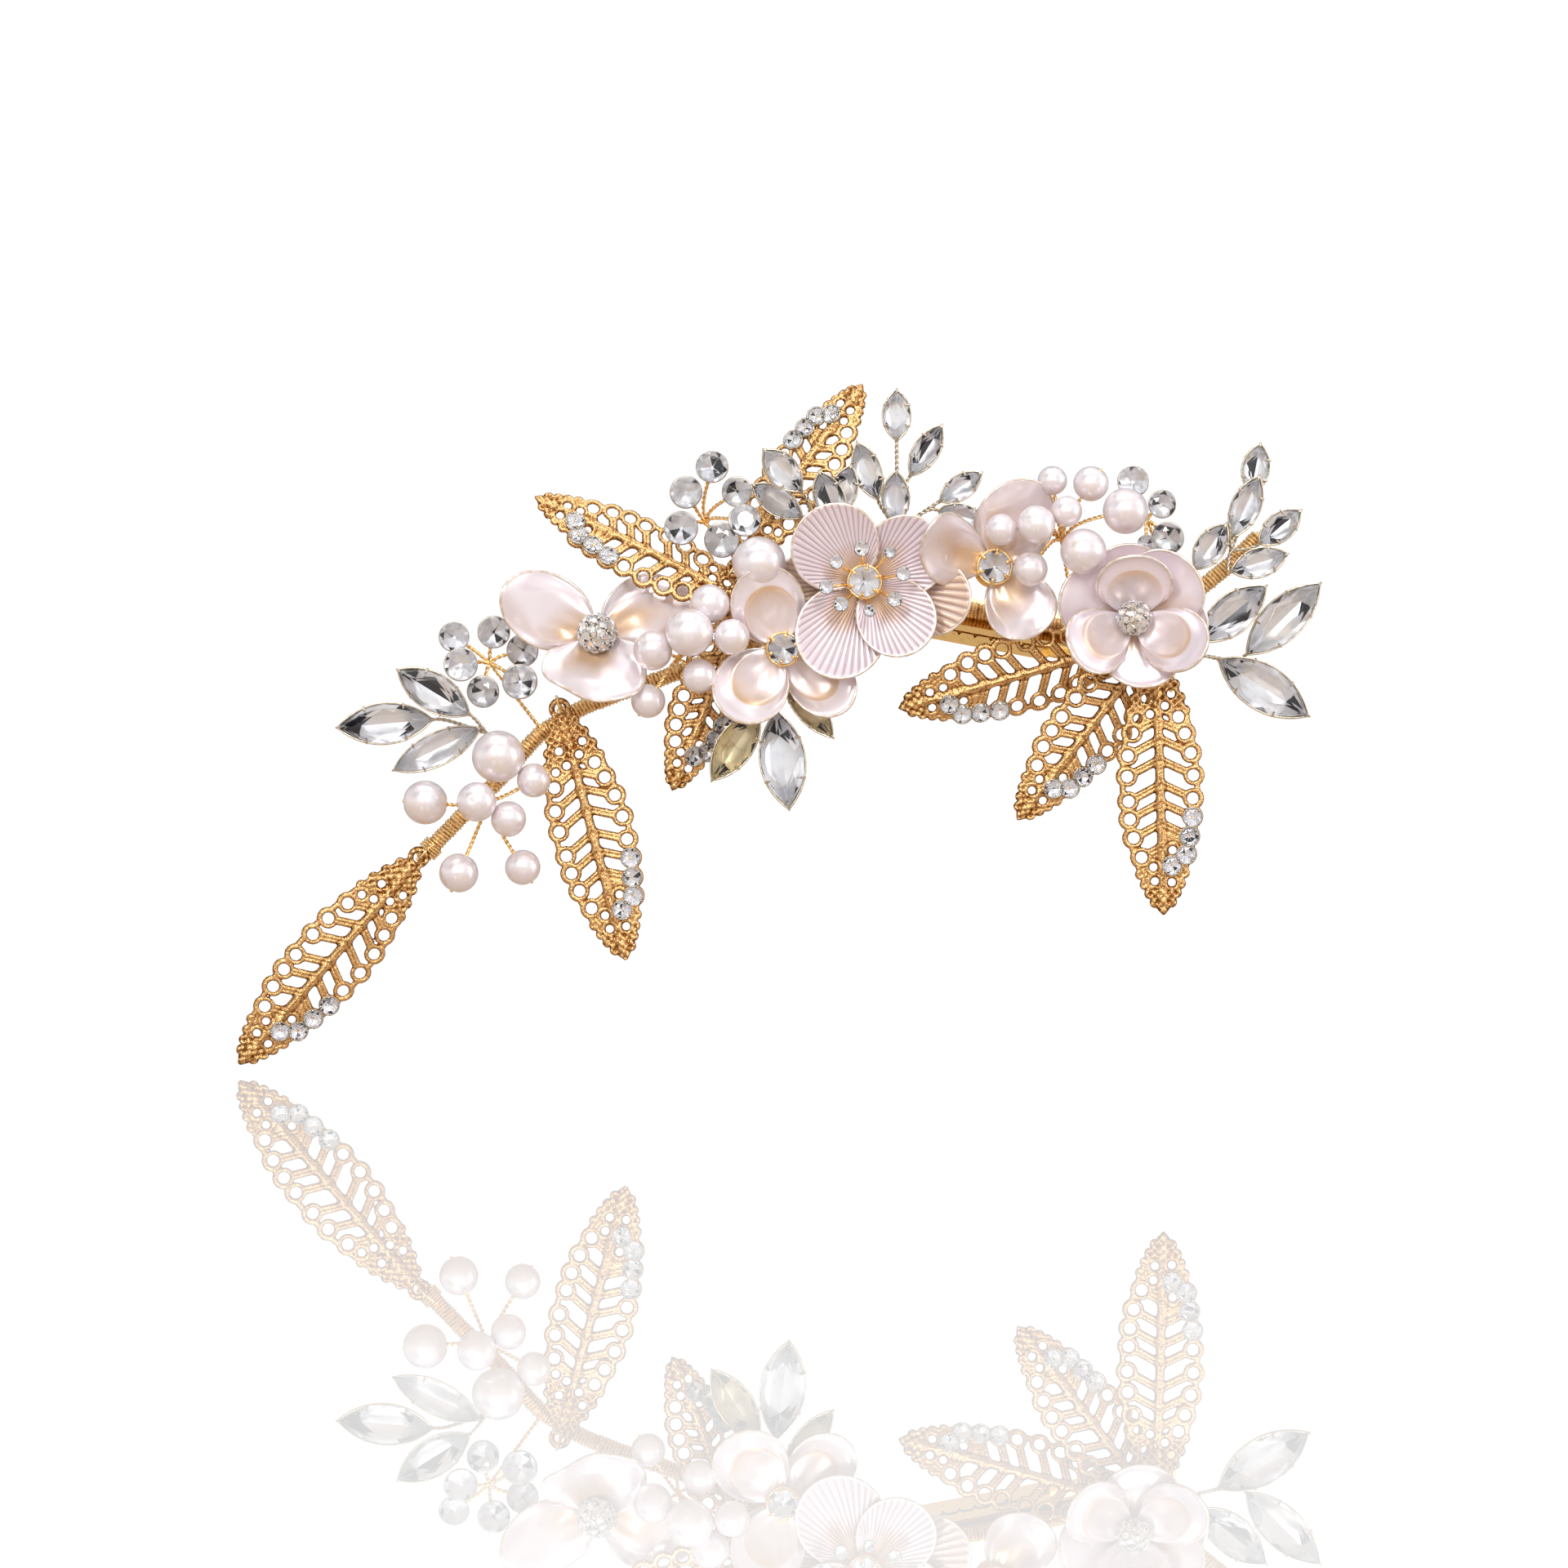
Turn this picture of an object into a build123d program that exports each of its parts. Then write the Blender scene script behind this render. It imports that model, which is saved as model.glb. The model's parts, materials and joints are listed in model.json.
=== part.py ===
from build123d import *
import os
from math import atan2, cos, degrees, radians, sin

# Bridal hair spray: filigree leaves, shell-petal flowers, pearls and crystals wired to a
# thread-wrapped stem, which is fastened to a sprung hair clip.
#
# The layout is worked in a frame whose X runs along the spray, Z is up and -Y faces the viewer.
# Each piece is then moved so that the file's origin is the centre of the clip's grip.
# Places below are (x, y, z) in millimetres in the layout frame.

GRIP_CENTRE = (0, 0, 1.6)

# Stem and wires
CORE_RADIUS = 0.55
WRAP_BORE = 0.6
WRAP_RADIUS = 1.35
STEM_Y = -2.9
STEM_BEND = 5
STEM_STEPS = 200
ROOT_Y = STEM_Y - 0.95
WIRE_RADIUS = 0.3
WIRE_CLEARANCE = 0.05
STEM_ROUTE = [
    (-86, -35.25), (-80, -29), (-72.75, -21.9), (-68.1, -16.25), (-61.9, -12.25), (-54.4, -9.4),
    (-43.75, -5.6), (-34, -1.8), (-27, 3.5), (-18.5, 6.4), (16.25, -0.2), (24.5, 0.9),
    (33.1, 5.6), (38.75, 10), (43.1, 14.4),
]

# Hair clip, in its own frame: X from the tips to the thumb levers, Z out of the upper jaw
CLIP_SLOPE = 10.8
CLIP_ROLL = 40
CLIP_TIP_X = -18
CLIP_TAIL_X = 31
CLIP_WIDTH = 6
SHEET = 0.6
GRIP_GAP = 0.4
UPPER_TOP_Z = 1.6
LOWER_BOTTOM_Z = -2.8
LOWER_WAIST = 4.4
JAW_END_X = 12
PIN_X = 20
PIN_Z = -0.6
PIN_RADIUS = 0.8
PIN_CLEARANCE = 0.05
TOOTH_PITCH = 2.5
TOOTH_DEPTH = 0.7
LEVER_BEND = 18
COIL_BORE = 0.95
COIL_RADIUS = 1.45

# Leaf stamping
LEAF_WIDTH = 13.2
LEAF_SHEET = 0.8
LEAF_FULLNESS = 0.8
SCALLOP_RADIUS = 1.75
RING_HOLE = 0.94
EYELET_RADIUS = 1.7
EYELET_HOLE = 0.8
LEAF_STONE_RADIUS = 1.4
LEAF_STONE_HEIGHT = 1.2
# Share of the length, then distance off the midrib, on a blank
STONE_SIDE_RINGS = [(0.244, 3.1), (0.308, 4.0), (0.383, 4.8), (0.468, 5.1), (0.556, 4.9)]
PLAIN_SIDE_RINGS = [
    (0.3, 3.9), (0.386, 4.7), (0.465, 4.9), (0.56, 4.8), (0.628, 4.7), (0.70, 4.2), (0.775, 3.1),
]
LEAF_STONES = [(0.627, 4.7), (0.70, 4.15), (0.769, 3.6), (0.809, 1.4)]
INNER_HOLES = [(0.751, 1.6), (0.874, 1.36), (0.814, -1.36), (0.868, -1.2)]
TEARDROPS = [0.30, 0.38, 0.46, 0.54, 0.62]

# Leaf name: base, tip, width and roll about its own length in degrees
LEAVES = {
    "leaf_far_left": ((-85.9, -5.3, -34.4), (-114.1, -3.5, -66.9), 13.0, 18),
    "leaf_left_drop": ((-64.6, -5.3, -11.6), (-54.25, -4.5, -50.9), 13.2, 0),
    "leaf_upper_left": ((-33.5, -5.2, 2.7), (-68.5, -3.0, 20.4), 11.0, -28),
    "leaf_top": ((-37.5, -5.2, 8.75), (-17.75, -2.0, 37.9), 11.4, 24),
    "leaf_centre_low": ((-35.6, -7.8, 5.6), (-47.25, -6.0, -24.75), 10.6, 16),
    "leaf_right_inner": ((26.0, -5.2, -1.0), (-12.5, -6.0, -12.0), 13.2, 22),
    "leaf_right_middle": ((28.9, -6.2, 0.9), (5.75, -5.0, -29.25), 12.4, 14),
    "leaf_right_outer": ((26.9, -7.6, -3.75), (28.3, -5.5, -43.9), 13.4, 0),
}

# Pearls and round crystals: centre and radius
PEARLS = {
    "left": [
        (-73.6, -10.0, -19.55, 4.0), (-84.9, -8.0, -26.6, 3.4), (-76.7, -12.6, -26.5, 3.0),
        (-68.25, -8.8, -23.2, 2.6), (-72.0, -10.5, -29.1, 2.7), (-79.75, -8.0, -37.4, 3.0),
        (-70.0, -8.0, -36.5, 2.7),
    ],
    "mid": [
        (-33.8, -11.6, 9.9, 4.05), (-41.25, -13.0, 3.6, 3.0), (-44.25, -16.2, -0.9, 3.6),
        (-37.9, -16.0, -1.5, 2.7), (-49.9, -13.9, -3.5, 3.0), (-42.8, -13.2, -7.4, 2.6),
        (-50.7, -11.0, -11.1, 2.6),
    ],
    "right": [
        (10.9, -10.6, 22.5, 2.25), (16.8, -10.6, 22.0, 2.7), (12.9, -13.6, 17.6, 2.35),
        (21.9, -12.6, 17.75, 3.5), (8.2, -15.0, 15.5, 2.9), (2.9, -14.6, 14.75, 2.4),
        (7.4, -13.4, 8.9, 2.6), (15.4, -14.0, 11.5, 3.5),
    ],
}
CRYSTALS = {
    "left": [
        (-80.6, -7.0, -1.2, 2.25), (-74.4, -8.4, -0.5, 2.4), (-70.1, -7.0, -3.3, 2.4),
        (-79.4, -9.2, -5.5, 2.5), (-70.4, -8.8, -8.1, 2.6), (-76.1, -7.6, -9.6, 2.4),
    ],
    "top": [
        (-41.0, -8.6, 24.75, 2.4), (-45.0, -8.0, 20.9, 2.4), (-37.2, -9.4, 20.9, 2.25),
        (-36.0, -11.4, 16.4, 2.4), (-45.75, -8.4, 15.4, 2.5), (-39.5, -9.6, 13.5, 2.6),
    ],
    "right": [
        (23.5, -7.4, 22.6, 2.35), (27.9, -8.0, 19.1, 2.1), (28.75, -8.0, 13.9, 2.4),
        (25.4, -9.6, 12.9, 1.4),
    ],
}
# Bundles of wires: where each leaves the stem, where it spreads, and its beads by number
PEARL_WIRES = {
    "left": [((-74.6, ROOT_Y, -23.7), (-75.2, -6.2, -26.0), range(7))],
    "mid": [
        ((-30.5, ROOT_Y, 0.8), (-31.4, -6.4, 3.6), [0]),
        ((-46.6, ROOT_Y, -6.6), (-46.2, -10.8, -4.6), range(1, 7)),
    ],
    "right": [((15.0, ROOT_Y, 0.2), (12.5, -7.6, 13.5), range(8))],
}
CRYSTAL_WIRES = {
    "left": [((-67.2, ROOT_Y, -15.6), (-75.0, -6.0, -5.4), range(6))],
    "top": [((-29.2, ROOT_Y, 1.8), (-42.0, -2.4, 16.4), range(6))],
    "right": [((30.6, ROOT_Y, 4.2), (25.8, -6.6, 16.6), range(4))],
}

# Marquise stones: centre, length, width, direction and lean towards the viewer in degrees
MARQUISES = {
    "left": [
        (-91.1, -7.6, -14.5, 14.4, 6.0, 185, 4), (-83.5, -9.4, -9.75, 12.7, 5.5, 148, 6),
        (-83.2, -7.0, -18.4, 14.6, 4.8, 206, 0),
    ],
    "top_left": [
        (-30.2, -11.4, 24.0, 8.3, 4.5, 133, 8), (-31.0, -8.8, 19.5, 8.8, 4.0, 147, 0),
        (-23.1, -12.2, 19.75, 8.3, 4.3, 111, 6), (-21.0, -8.6, 21.0, 8.0, 4.0, 72, 0),
    ],
    "top": [
        (-12.7, -6.6, 32.8, 7.5, 4.1, 90, 0), (-8.2, -6.6, 27.4, 8.9, 3.7, 58, 0),
        (-17.2, -7.4, 24.2, 9.1, 4.0, 110, 0), (-12.9, -8.4, 20.0, 7.9, 3.9, 90, 8),
        (-2.9, -6.6, 21.8, 7.5, 3.5, 34, 0), (-2.7, -7.2, 17.25, 7.5, 3.5, -15, 0),
    ],
    "right_top": [
        (42.6, -4.6, 24.75, 7.5, 4.0, 80, 0), (40.8, -7.0, 18.75, 9.9, 4.2, 67, 6),
        (46.2, -5.6, 15.7, 8.0, 4.0, 39, 0), (42.8, -7.6, 10.15, 8.8, 4.2, 17, 0),
        (35.3, -8.0, 12.55, 8.1, 4.2, 56, 6),
    ],
    "right": [
        (38.6, -9.6, 2.25, 12.9, 5.7, 40, 0), (46.6, -6.6, 1.55, 15.5, 6.0, 44, 0),
        (43.4, -8.0, -9.0, 16.0, 6.7, -32.5, 4),
    ],
    "low": [
        (-30.2, -10.0, -20.1, 14.9, 6.7, -82.6, 4), (-37.4, -10.4, -17.9, 12.6, 5.25, -124, 0),
        (-26.25, -7.6, -12.0, 11.7, 3.9, -51, 0),
    ],
}
MARQUISE_WIRES = {
    "left": ((-71.0, ROOT_Y, -19.8), (-75.6, -6.2, -16.0)),
    "top_left": ((-21.6, ROOT_Y, 5.4), (-25.5, -7.2, 15.0)),
    "top": ((-12.0, ROOT_Y, 5.2), (-12.6, -6.0, 15.2)),
    "right_top": ((38.0, ROOT_Y, 9.4), (38.6, -5.6, 12.0)),
    "right": ((27.6, ROOT_Y, 2.5), (33.6, -7.6, -4.0)),
    "low": ((-34.4, ROOT_Y, -2.0), (-30.6, -6.8, -10.4)),
}

# Flowers: centre of the petals' roots
FLOWERS = {
    "left_flower": (-58.5, -8.0, -0.75),
    "mid_left_flower": (-30.1, -11.0, -3.25),
    "main_flower": (-17.8, -12.4, 6.9),
    "mid_right_flower": (2.1, -9.0, 9.3),
    "rose_flower": (23.1, -11.4, 1.5),
}
# Where each flower's disc is wired to the stem
DISC_ROOTS = {
    "left_flower": (-58.6, ROOT_Y, -10.9),
    "mid_left_flower": (-31.6, ROOT_Y, 0.1),
    "main_flower": (-17.6, ROOT_Y, 6.2),
    "mid_right_flower": (2.2, ROOT_Y, 2.5),
    "rose_flower": (23.4, ROOT_Y, 0.8),
}
# Petals: direction and lean in degrees, length, width, dish radius, step back
PETALS = {
    "left_flower_petals": [
        (156, 6, 14.5, 11.0, 20, 0), (25, -14, 14.6, 11.0, 40, 2.4), (266, 34, 12.5, 14.6, 16, 0),
    ],
    "mid_left_flower_petals": [
        (109, 8, 12.0, 10.6, 15, 0), (229, 8, 12.6, 10.4, 15, 0), (-41, 0, 12.0, 8.6, 18, 1.2),
    ],
    "main_flower_front_petals": [
        (130, 4, 12.2, 13.0, 20, 0), (33, 2, 12.4, 11.4, 20, 0.7), (-48, 6, 12.4, 11.0, 20, 0),
        (245, 4, 14.4, 13.0, 20, 0.7),
    ],
    "main_flower_back_petals": [
        (-12, 0, 15.4, 12.0, 26, 2.2), (187, 0, 12.6, 11.6, 26, 2.2),
    ],
    "mid_right_flower_petals": [
        (65, 2, 13.0, 11.8, 18, 0), (160, 26, 13.8, 10.4, 14, 0), (-56, 8, 11.6, 9.6, 16, 0),
    ],
    "rose_inner_petals": [
        (90, 30, 10.0, 11.0, 9, 0), (212, 24, 12.0, 9.6, 10, 0), (-29, 24, 12.4, 9.4, 10, 0),
    ],
    "rose_outer_petals": [
        (160, 10, 10.8, 11.6, 13, 1.6), (100, 10, 10.4, 11.6, 13, 2.5), (42, 10, 11.2, 12.0, 13, 1.6),
        (-16, 10, 10.6, 11.6, 13, 2.5), (288, 10, 9.8, 11.8, 13, 1.6),
    ],
}
PETAL_LOW = 0.3
PETAL_SHEET = 0.6
PETAL_START = 1.0
DISC_RADIUS = 3.0
DISC_SHEET = 0.8
DISC_SETBACK = 3.2
SHANK_RADIUS = 0.45
PAVE_RADIUS = {"left_flower": 2.9, "rose_flower": 2.5}
CHATON_RADIUS = {"mid_left_flower": 2.4, "main_flower": 2.4, "mid_right_flower": 2.5}
CENTRE_RISE = 2.4
STAMEN_TIPS = [
    (-22.1, 9.75), (-18.25, 11.75), (-14.0, 11.25), (-12.0, 8.0),
    (-13.25, 4.1), (-17.1, 2.4), (-21.4, 3.4), (-23.6, 6.0),
]
STAMEN_Y = -17.2
STAMEN_STONE_RADIUS = 1.0
STAMEN_WIRE_RADIUS = 0.25

BOTTOM = (Align.CENTER, Align.CENTER, Align.MIN)


def save(name, solids):
    """Write one node, moved so that the grip centre is the origin."""
    home = Pos(*GRIP_CENTRE).inverse()
    placed = [home * solid for shape in solids for solid in shape.solids()]
    whole = placed[0] if len(placed) == 1 else Compound(children=placed)
    export_step(whole, f"parts/{name}.step")


def largest(shape):
    """The biggest solid of a shape, without the chips a cut may leave."""
    return max(shape.solids(), key=lambda solid: solid.volume)


def clear_of(shape, others):
    """A solid cut back where it would run into the others."""
    for other in others:
        if shape.bounding_box().overlaps(other.bounding_box(), 0):
            shape -= other
    return largest(shape)


def rod(start, end, radius):
    """A round bar from one point to another."""
    along = Vector(*end) - Vector(*start)
    return Plane(origin=start, z_dir=along) * Cylinder(radius, along.length, align=BOTTOM)


def wire(points, radius=WIRE_RADIUS):
    """A round wire through a list of points, with a ball at each bend."""
    run = rod(points[0], points[1], radius)
    for here, there in zip(points[1:-1], points[2:]):
        run += Pos(*here) * Sphere(radius)
        run += rod(here, there, radius)
    return run


def facing(centre, direction, lean):
    """A plane whose X points along a direction in the XZ plane, leaning towards the viewer."""
    turn, tilt = radians(direction), radians(lean)
    x_dir = (cos(tilt) * cos(turn), -sin(tilt), cos(tilt) * sin(turn))
    z_dir = (-sin(tilt) * cos(turn), -cos(tilt), -sin(tilt) * sin(turn))
    return Plane(origin=centre, x_dir=x_dir, z_dir=z_dir)


# Stem

def stem_line():
    """The stem's centre line: straight runs joined by tangent arcs."""
    points = [(x, STEM_Y, z) for x, z in STEM_ROUTE]
    return FilletPolyline(*points, radius=STEM_BEND)


def stem_tube(outer, inner=0):
    """A round section swept along the stem."""
    line = stem_line()
    section = Circle(outer) - Circle(inner) if inner else Circle(outer)
    return sweep(Plane(origin=line @ 0, z_dir=line % 0) * section, path=line)


# Clip

def clip_plane():
    """The clip's frame: along the spray, rolled so that the lower jaw shows below the upper."""
    along = Vector(cos(radians(CLIP_SLOPE)), 0, -sin(radians(CLIP_SLOPE)))
    above = Vector(sin(radians(CLIP_SLOPE)), 0, cos(radians(CLIP_SLOPE)))
    out = Vector(0, -cos(radians(CLIP_ROLL)), 0) + above * sin(radians(CLIP_ROLL))
    return Plane(origin=GRIP_CENTRE, x_dir=along, z_dir=out)


def span(x0, x1, y0, y1, z0, z1):
    """A box between two corners."""
    return Pos((x0 + x1) / 2, (y0 + y1) / 2, (z0 + z1) / 2) * Box(x1 - x0, y1 - y0, z1 - z0)


def side_pair(x0, x1, outer, z0, z1):
    """A pair of upright flanges, one on each side."""
    return [span(x0, x1, outer - SHEET, outer, z0, z1), span(x0, x1, -outer, SHEET - outer, z0, z1)]


def ear_pair(outer, radius, root_z, reach):
    """A pair of hinge ears: a disc round the pin, widened to the plate at root_z."""
    profile = Pos(PIN_X, PIN_Z) * Circle(radius)
    profile += Polygon(
        (PIN_X - reach, root_z), (PIN_X + reach, root_z),
        (PIN_X + radius, PIN_Z), (PIN_X - radius, PIN_Z), align=None,
    )
    upright = Plane.XZ * profile
    ear = extrude(upright, SHEET, dir=(0, -1, 0))
    return [Pos(0, outer, 0) * ear, Pos(0, SHEET - outer, 0) * ear]


def pin_cylinder(radius, length):
    """A cylinder on the hinge axis."""
    return Pos(PIN_X, 0, PIN_Z) * Rot(90, 0, 0) * Cylinder(radius, length)


def upper_jaw():
    """Front jaw: a long flat channel whose tail is the fixed thumb lever."""
    half = CLIP_WIDTH / 2
    inside = UPPER_TOP_Z - SHEET
    jaw = span(CLIP_TIP_X, CLIP_TAIL_X, -half, half, inside, UPPER_TOP_Z)
    jaw = fillet(jaw.edges().filter_by(Axis.Z), 2.2)
    for piece in side_pair(CLIP_TIP_X + 2.2, JAW_END_X, half, GRIP_GAP / 2, inside):
        jaw += piece
    for piece in ear_pair(half, 2.0, inside, 5):
        jaw += piece
    return jaw - pin_cylinder(PIN_RADIUS, 2 * CLIP_WIDTH)


def lower_jaw():
    """Rear jaw: a toothed channel, a narrow waist between the ears and a bent thumb lever."""
    half = CLIP_WIDTH / 2
    waist = LOWER_WAIST / 2
    inside = LOWER_BOTTOM_Z + SHEET
    jaw = span(CLIP_TIP_X, JAW_END_X, -half, half, LOWER_BOTTOM_Z, inside)
    jaw = fillet(jaw.edges().filter_by(Axis.Z), 1.4)
    jaw += span(JAW_END_X - 2, 26, -waist, waist, LOWER_BOTTOM_Z, inside)
    for piece in side_pair(CLIP_TIP_X + 1.4, JAW_END_X - 1.4, half, inside, -GRIP_GAP / 2):
        jaw += piece
    for piece in ear_pair(waist, 1.4, inside, 4):
        jaw += piece
    lever = Pos(26, 0, LOWER_BOTTOM_Z) * Rot(0, LEVER_BEND, 0) * span(-0.3, 6, -half, half, 0, SHEET)
    jaw += lever
    tooth = Rot(90, 0, 0) * extrude(RegularPolygon(TOOTH_DEPTH, 3, rotation=-90), half + 1, both=True)
    teeth = int((JAW_END_X - CLIP_TIP_X - 4) / TOOTH_PITCH)
    for count in range(teeth):
        x = CLIP_TIP_X + 3 + count * TOOTH_PITCH
        jaw -= Pos(x, 0, -GRIP_GAP / 2) * tooth
    return jaw - pin_cylinder(PIN_RADIUS + PIN_CLEARANCE, 2 * CLIP_WIDTH)


def hinge_pin():
    """Riveted pin through the four ears."""
    pin = pin_cylinder(PIN_RADIUS, CLIP_WIDTH)
    for side in (-1, 1):
        head = Pos(0, side * (CLIP_WIDTH / 2 + 0.2), 0) * pin_cylinder(1.2, 0.4)
        pin += head
    return pin


def spring_half(side, leg_z, leg_drop):
    """Half of the torsion spring's coil with its leg, on one side of the middle."""
    middle = side * 0.75
    coil = Pos(0, middle, 0) * (pin_cylinder(COIL_RADIUS, 1.3) - pin_cylinder(COIL_BORE, 2))
    leg = rod((PIN_X, middle, leg_z), (PIN_X + 6, middle, leg_z + leg_drop), 0.25)
    return coil + (leg - pin_cylinder(COIL_BORE, 2 * CLIP_WIDTH))


def save_clip():
    """Both jaws, the pin and the two halves of the spring."""
    frame = clip_plane()
    save("clip_upper_jaw", [frame * upper_jaw()])
    save("clip_lower_jaw", [frame * lower_jaw()])
    save("clip_hinge_pin", [frame * hinge_pin()])
    save("clip_spring_fixed_half", [frame * spring_half(-1, PIN_Z + 1.2, 0.1)])
    save("clip_spring_moving_half", [frame * spring_half(1, PIN_Z - 1.2, -0.15)])


# Leaves

def leaf_plane(name):
    """A leaf's frame: X from base to tip, Z out of its face, rolled about X."""
    base, tip, _, roll = LEAVES[name]
    along = (Vector(*tip) - Vector(*base)).normalized()
    front = Vector(0, -1, 0)
    front = (front - along * front.dot(along)).normalized()
    side = front.cross(along)
    out = front * cos(radians(roll)) + side * sin(radians(roll))
    return Plane(origin=base, x_dir=along, z_dir=out)


def half_width(share):
    """Half of the leaf's width at a share of its length, as part of the full width."""
    return 0.5 * (4 * share * (1 - share)) ** LEAF_FULLNESS


def leaf_outline(length, width):
    """The pointed leaf shape."""
    shares = [0.04, 0.2, 0.4, 0.6, 0.8, 0.96]
    upper = [(share * length, half_width(share) * width * 0.92) for share in shares]
    lower = [(x, -y) for x, y in reversed(upper)]
    return make_face(Polyline((0, 0), *upper, (length, 0), *lower, close=True))


def teardrop(share, side, stretch, spread):
    """A pointed opening between two veins, leaning towards the tip."""
    root = (share * stretch, side * 1.15)
    end_share = share + 0.062
    reach = min(half_width(end_share + 0.03) * LEAF_WIDTH - 3.1, 3.0)
    end = (end_share * stretch, side * reach * spread)
    length = ((end[0] - root[0]) ** 2 + (end[1] - root[1]) ** 2) ** 0.5
    angle = degrees(atan2(end[1] - root[1], end[0] - root[0]))
    middle = Pos((root[0] + end[0]) / 2, (root[1] + end[1]) / 2) * Rot(0, 0, angle)
    return middle * SlotCenterToCenter(length, 1.3)


def leaf(name):
    """One stamped filigree leaf with its eyelet, and the stones set on it."""
    base, tip, width, _ = LEAVES[name]
    length = (Vector(*tip) - Vector(*base)).length
    spread = width / LEAF_WIDTH
    rings = [(x * length, y * spread) for x, y in STONE_SIDE_RINGS]
    rings += [(x * length, -y * spread) for x, y in PLAIN_SIDE_RINGS]
    seats = [(x * length, y * spread) for x, y in LEAF_STONES]
    plate = leaf_outline(length, width) + Pos(0.6, 0) * Circle(EYELET_RADIUS)
    plate += [Pos(*spot) * Circle(SCALLOP_RADIUS) for spot in rings + seats]
    holes = [Pos(*spot) * Circle(RING_HOLE) for spot in rings]
    holes += [Pos(x * length, y * spread) * Circle(0.6) for x, y in INNER_HOLES]
    holes += [teardrop(share, side, length, spread) for share in TEARDROPS for side in (1, -1)]
    holes.append(Pos(0.6, 0) * Circle(EYELET_HOLE))
    plate -= holes
    frame = leaf_plane(name)
    blade = frame * extrude(plate, LEAF_SHEET)
    stone = Cone(LEAF_STONE_RADIUS, 0.6 * LEAF_STONE_RADIUS, LEAF_STONE_HEIGHT, align=BOTTOM)
    stones = [frame * Pos(*spot, LEAF_SHEET) * stone for spot in seats]
    return blade, stones


def nearest_on_stem(point):
    """The point of the stem's front that is nearest to a place."""
    line = stem_line()
    target = Vector(*point)
    spots = [line @ (step / STEM_STEPS) for step in range(2, STEM_STEPS - 1)]
    spot = min(spots, key=lambda place: (place - target).length)
    return (spot.X, ROOT_Y, spot.Z)


def binding_wire(name):
    """The wire that goes through a leaf's eyelet and back to the stem."""
    frame = leaf_plane(name)
    eye = frame.origin + frame.x_dir * 0.6
    front = eye + frame.z_dir * (LEAF_SHEET + 0.3)
    back = eye - frame.z_dir * 0.8
    return wire([tuple(front), tuple(back), nearest_on_stem(tuple(back))])


def save_leaves():
    """Eight leaves, their stones and the wires that bind them."""
    all_stones = []
    for name in LEAVES:
        blade, stones = leaf(name)
        save(name, [blade])
        all_stones += stones
    save("leaf_rhinestones", all_stones)
    save("leaf_binding_wires", [binding_wire(name) for name in LEAVES])


# Pearls and round crystals

def drilled(body, centre, fork):
    """A bead with a blind hole for its wire, pointing at the place where the wires spread."""
    return body - rod(centre, fork, WIRE_RADIUS + WIRE_CLEARANCE)


def drilled_pearl(centre, radius, fork):
    """A drilled ball, turned so that the hole is away from its poles and its seam."""
    toward_fork = Plane(origin=centre, z_dir=Vector(*fork) - Vector(*centre))
    hole = Cylinder(WIRE_RADIUS + WIRE_CLEARANCE, 2 * radius, align=BOTTOM)
    return toward_fork * (Rot(90, 0, 0) * Sphere(radius) - hole)


def ring(radius, z, count, phase=0.0):
    """Points round a circle at one height."""
    step = 360 / count
    turns = [radians(step * (number + phase)) for number in range(count)]
    return [(radius * cos(turn), radius * sin(turn), z) for turn in turns]


def round_crystal(radius):
    """A faceted round stone: flat table, belt and blunt back."""
    points = ring(0.55 * radius, 0.42 * radius, 8)
    points += ring(radius, 0.1 * radius, 8, 0.5) + ring(radius, -0.1 * radius, 8, 0.5)
    points += ring(0.4 * radius, -0.5 * radius, 8)
    return ConvexPolyhedron(points)


def bundle(branches, beads):
    """Wires twisted together from the stem to where they spread, then one to each bead."""
    bundles = []
    for root, fork, numbers in branches:
        wires = wire([root, fork]) + Pos(*fork) * Sphere(1.4 * WIRE_RADIUS)
        for number in numbers:
            wires += rod(fork, beads[number][:3], WIRE_RADIUS)
        bundles.append(wires)
    return bundles


def fork_of(number, branches):
    """Where the wire of one bead starts."""
    return next(fork for root, fork, numbers in branches if number in numbers)


def save_beads():
    """Three pearl sprays and three crystal sprays with their wires; returns what is in front."""
    fronts = []
    for side, beads in PEARLS.items():
        spheres = []
        for number, (x, y, z, r) in enumerate(beads):
            fork = fork_of(number, PEARL_WIRES[side])
            spheres.append(drilled_pearl((x, y, z), r, fork))
        wires = bundle(PEARL_WIRES[side], beads)
        save(f"{side}_pearls", spheres)
        save(f"{side}_pearl_wires", wires)
        fronts += spheres + wires
    for side, beads in CRYSTALS.items():
        stones = []
        for number, (x, y, z, r) in enumerate(beads):
            fork = fork_of(number, CRYSTAL_WIRES[side])
            stone = facing((x, y, z), 90, 0) * round_crystal(r)
            stones.append(drilled(stone, (x, y, z), fork))
        wires = bundle(CRYSTAL_WIRES[side], beads)
        save(f"{side}_crystals", stones)
        save(f"{side}_crystal_wires", wires)
        fronts += stones + wires
    return fronts


# Marquise stones

def navette(length, width, z, shares=(-0.6, -0.2, 0.2, 0.6)):
    """Points round a boat shape at one height."""
    sides = [(share * length / 2, (1 - share ** 2) * width / 2, z) for share in shares]
    return [(-length / 2, 0, z), (length / 2, 0, z)] + sides + [(x, -y, z) for x, y, z in sides]


def marquise(length, width):
    """A faceted boat-shaped stone with a flat table and a keel at the back."""
    points = navette(0.62 * length, 0.56 * width, 0.26 * width)
    points += navette(length, width, 0)
    points += [(-0.3 * length, 0, -0.36 * width), (0.3 * length, 0, -0.36 * width)]
    return ConvexPolyhedron(points)


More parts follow.
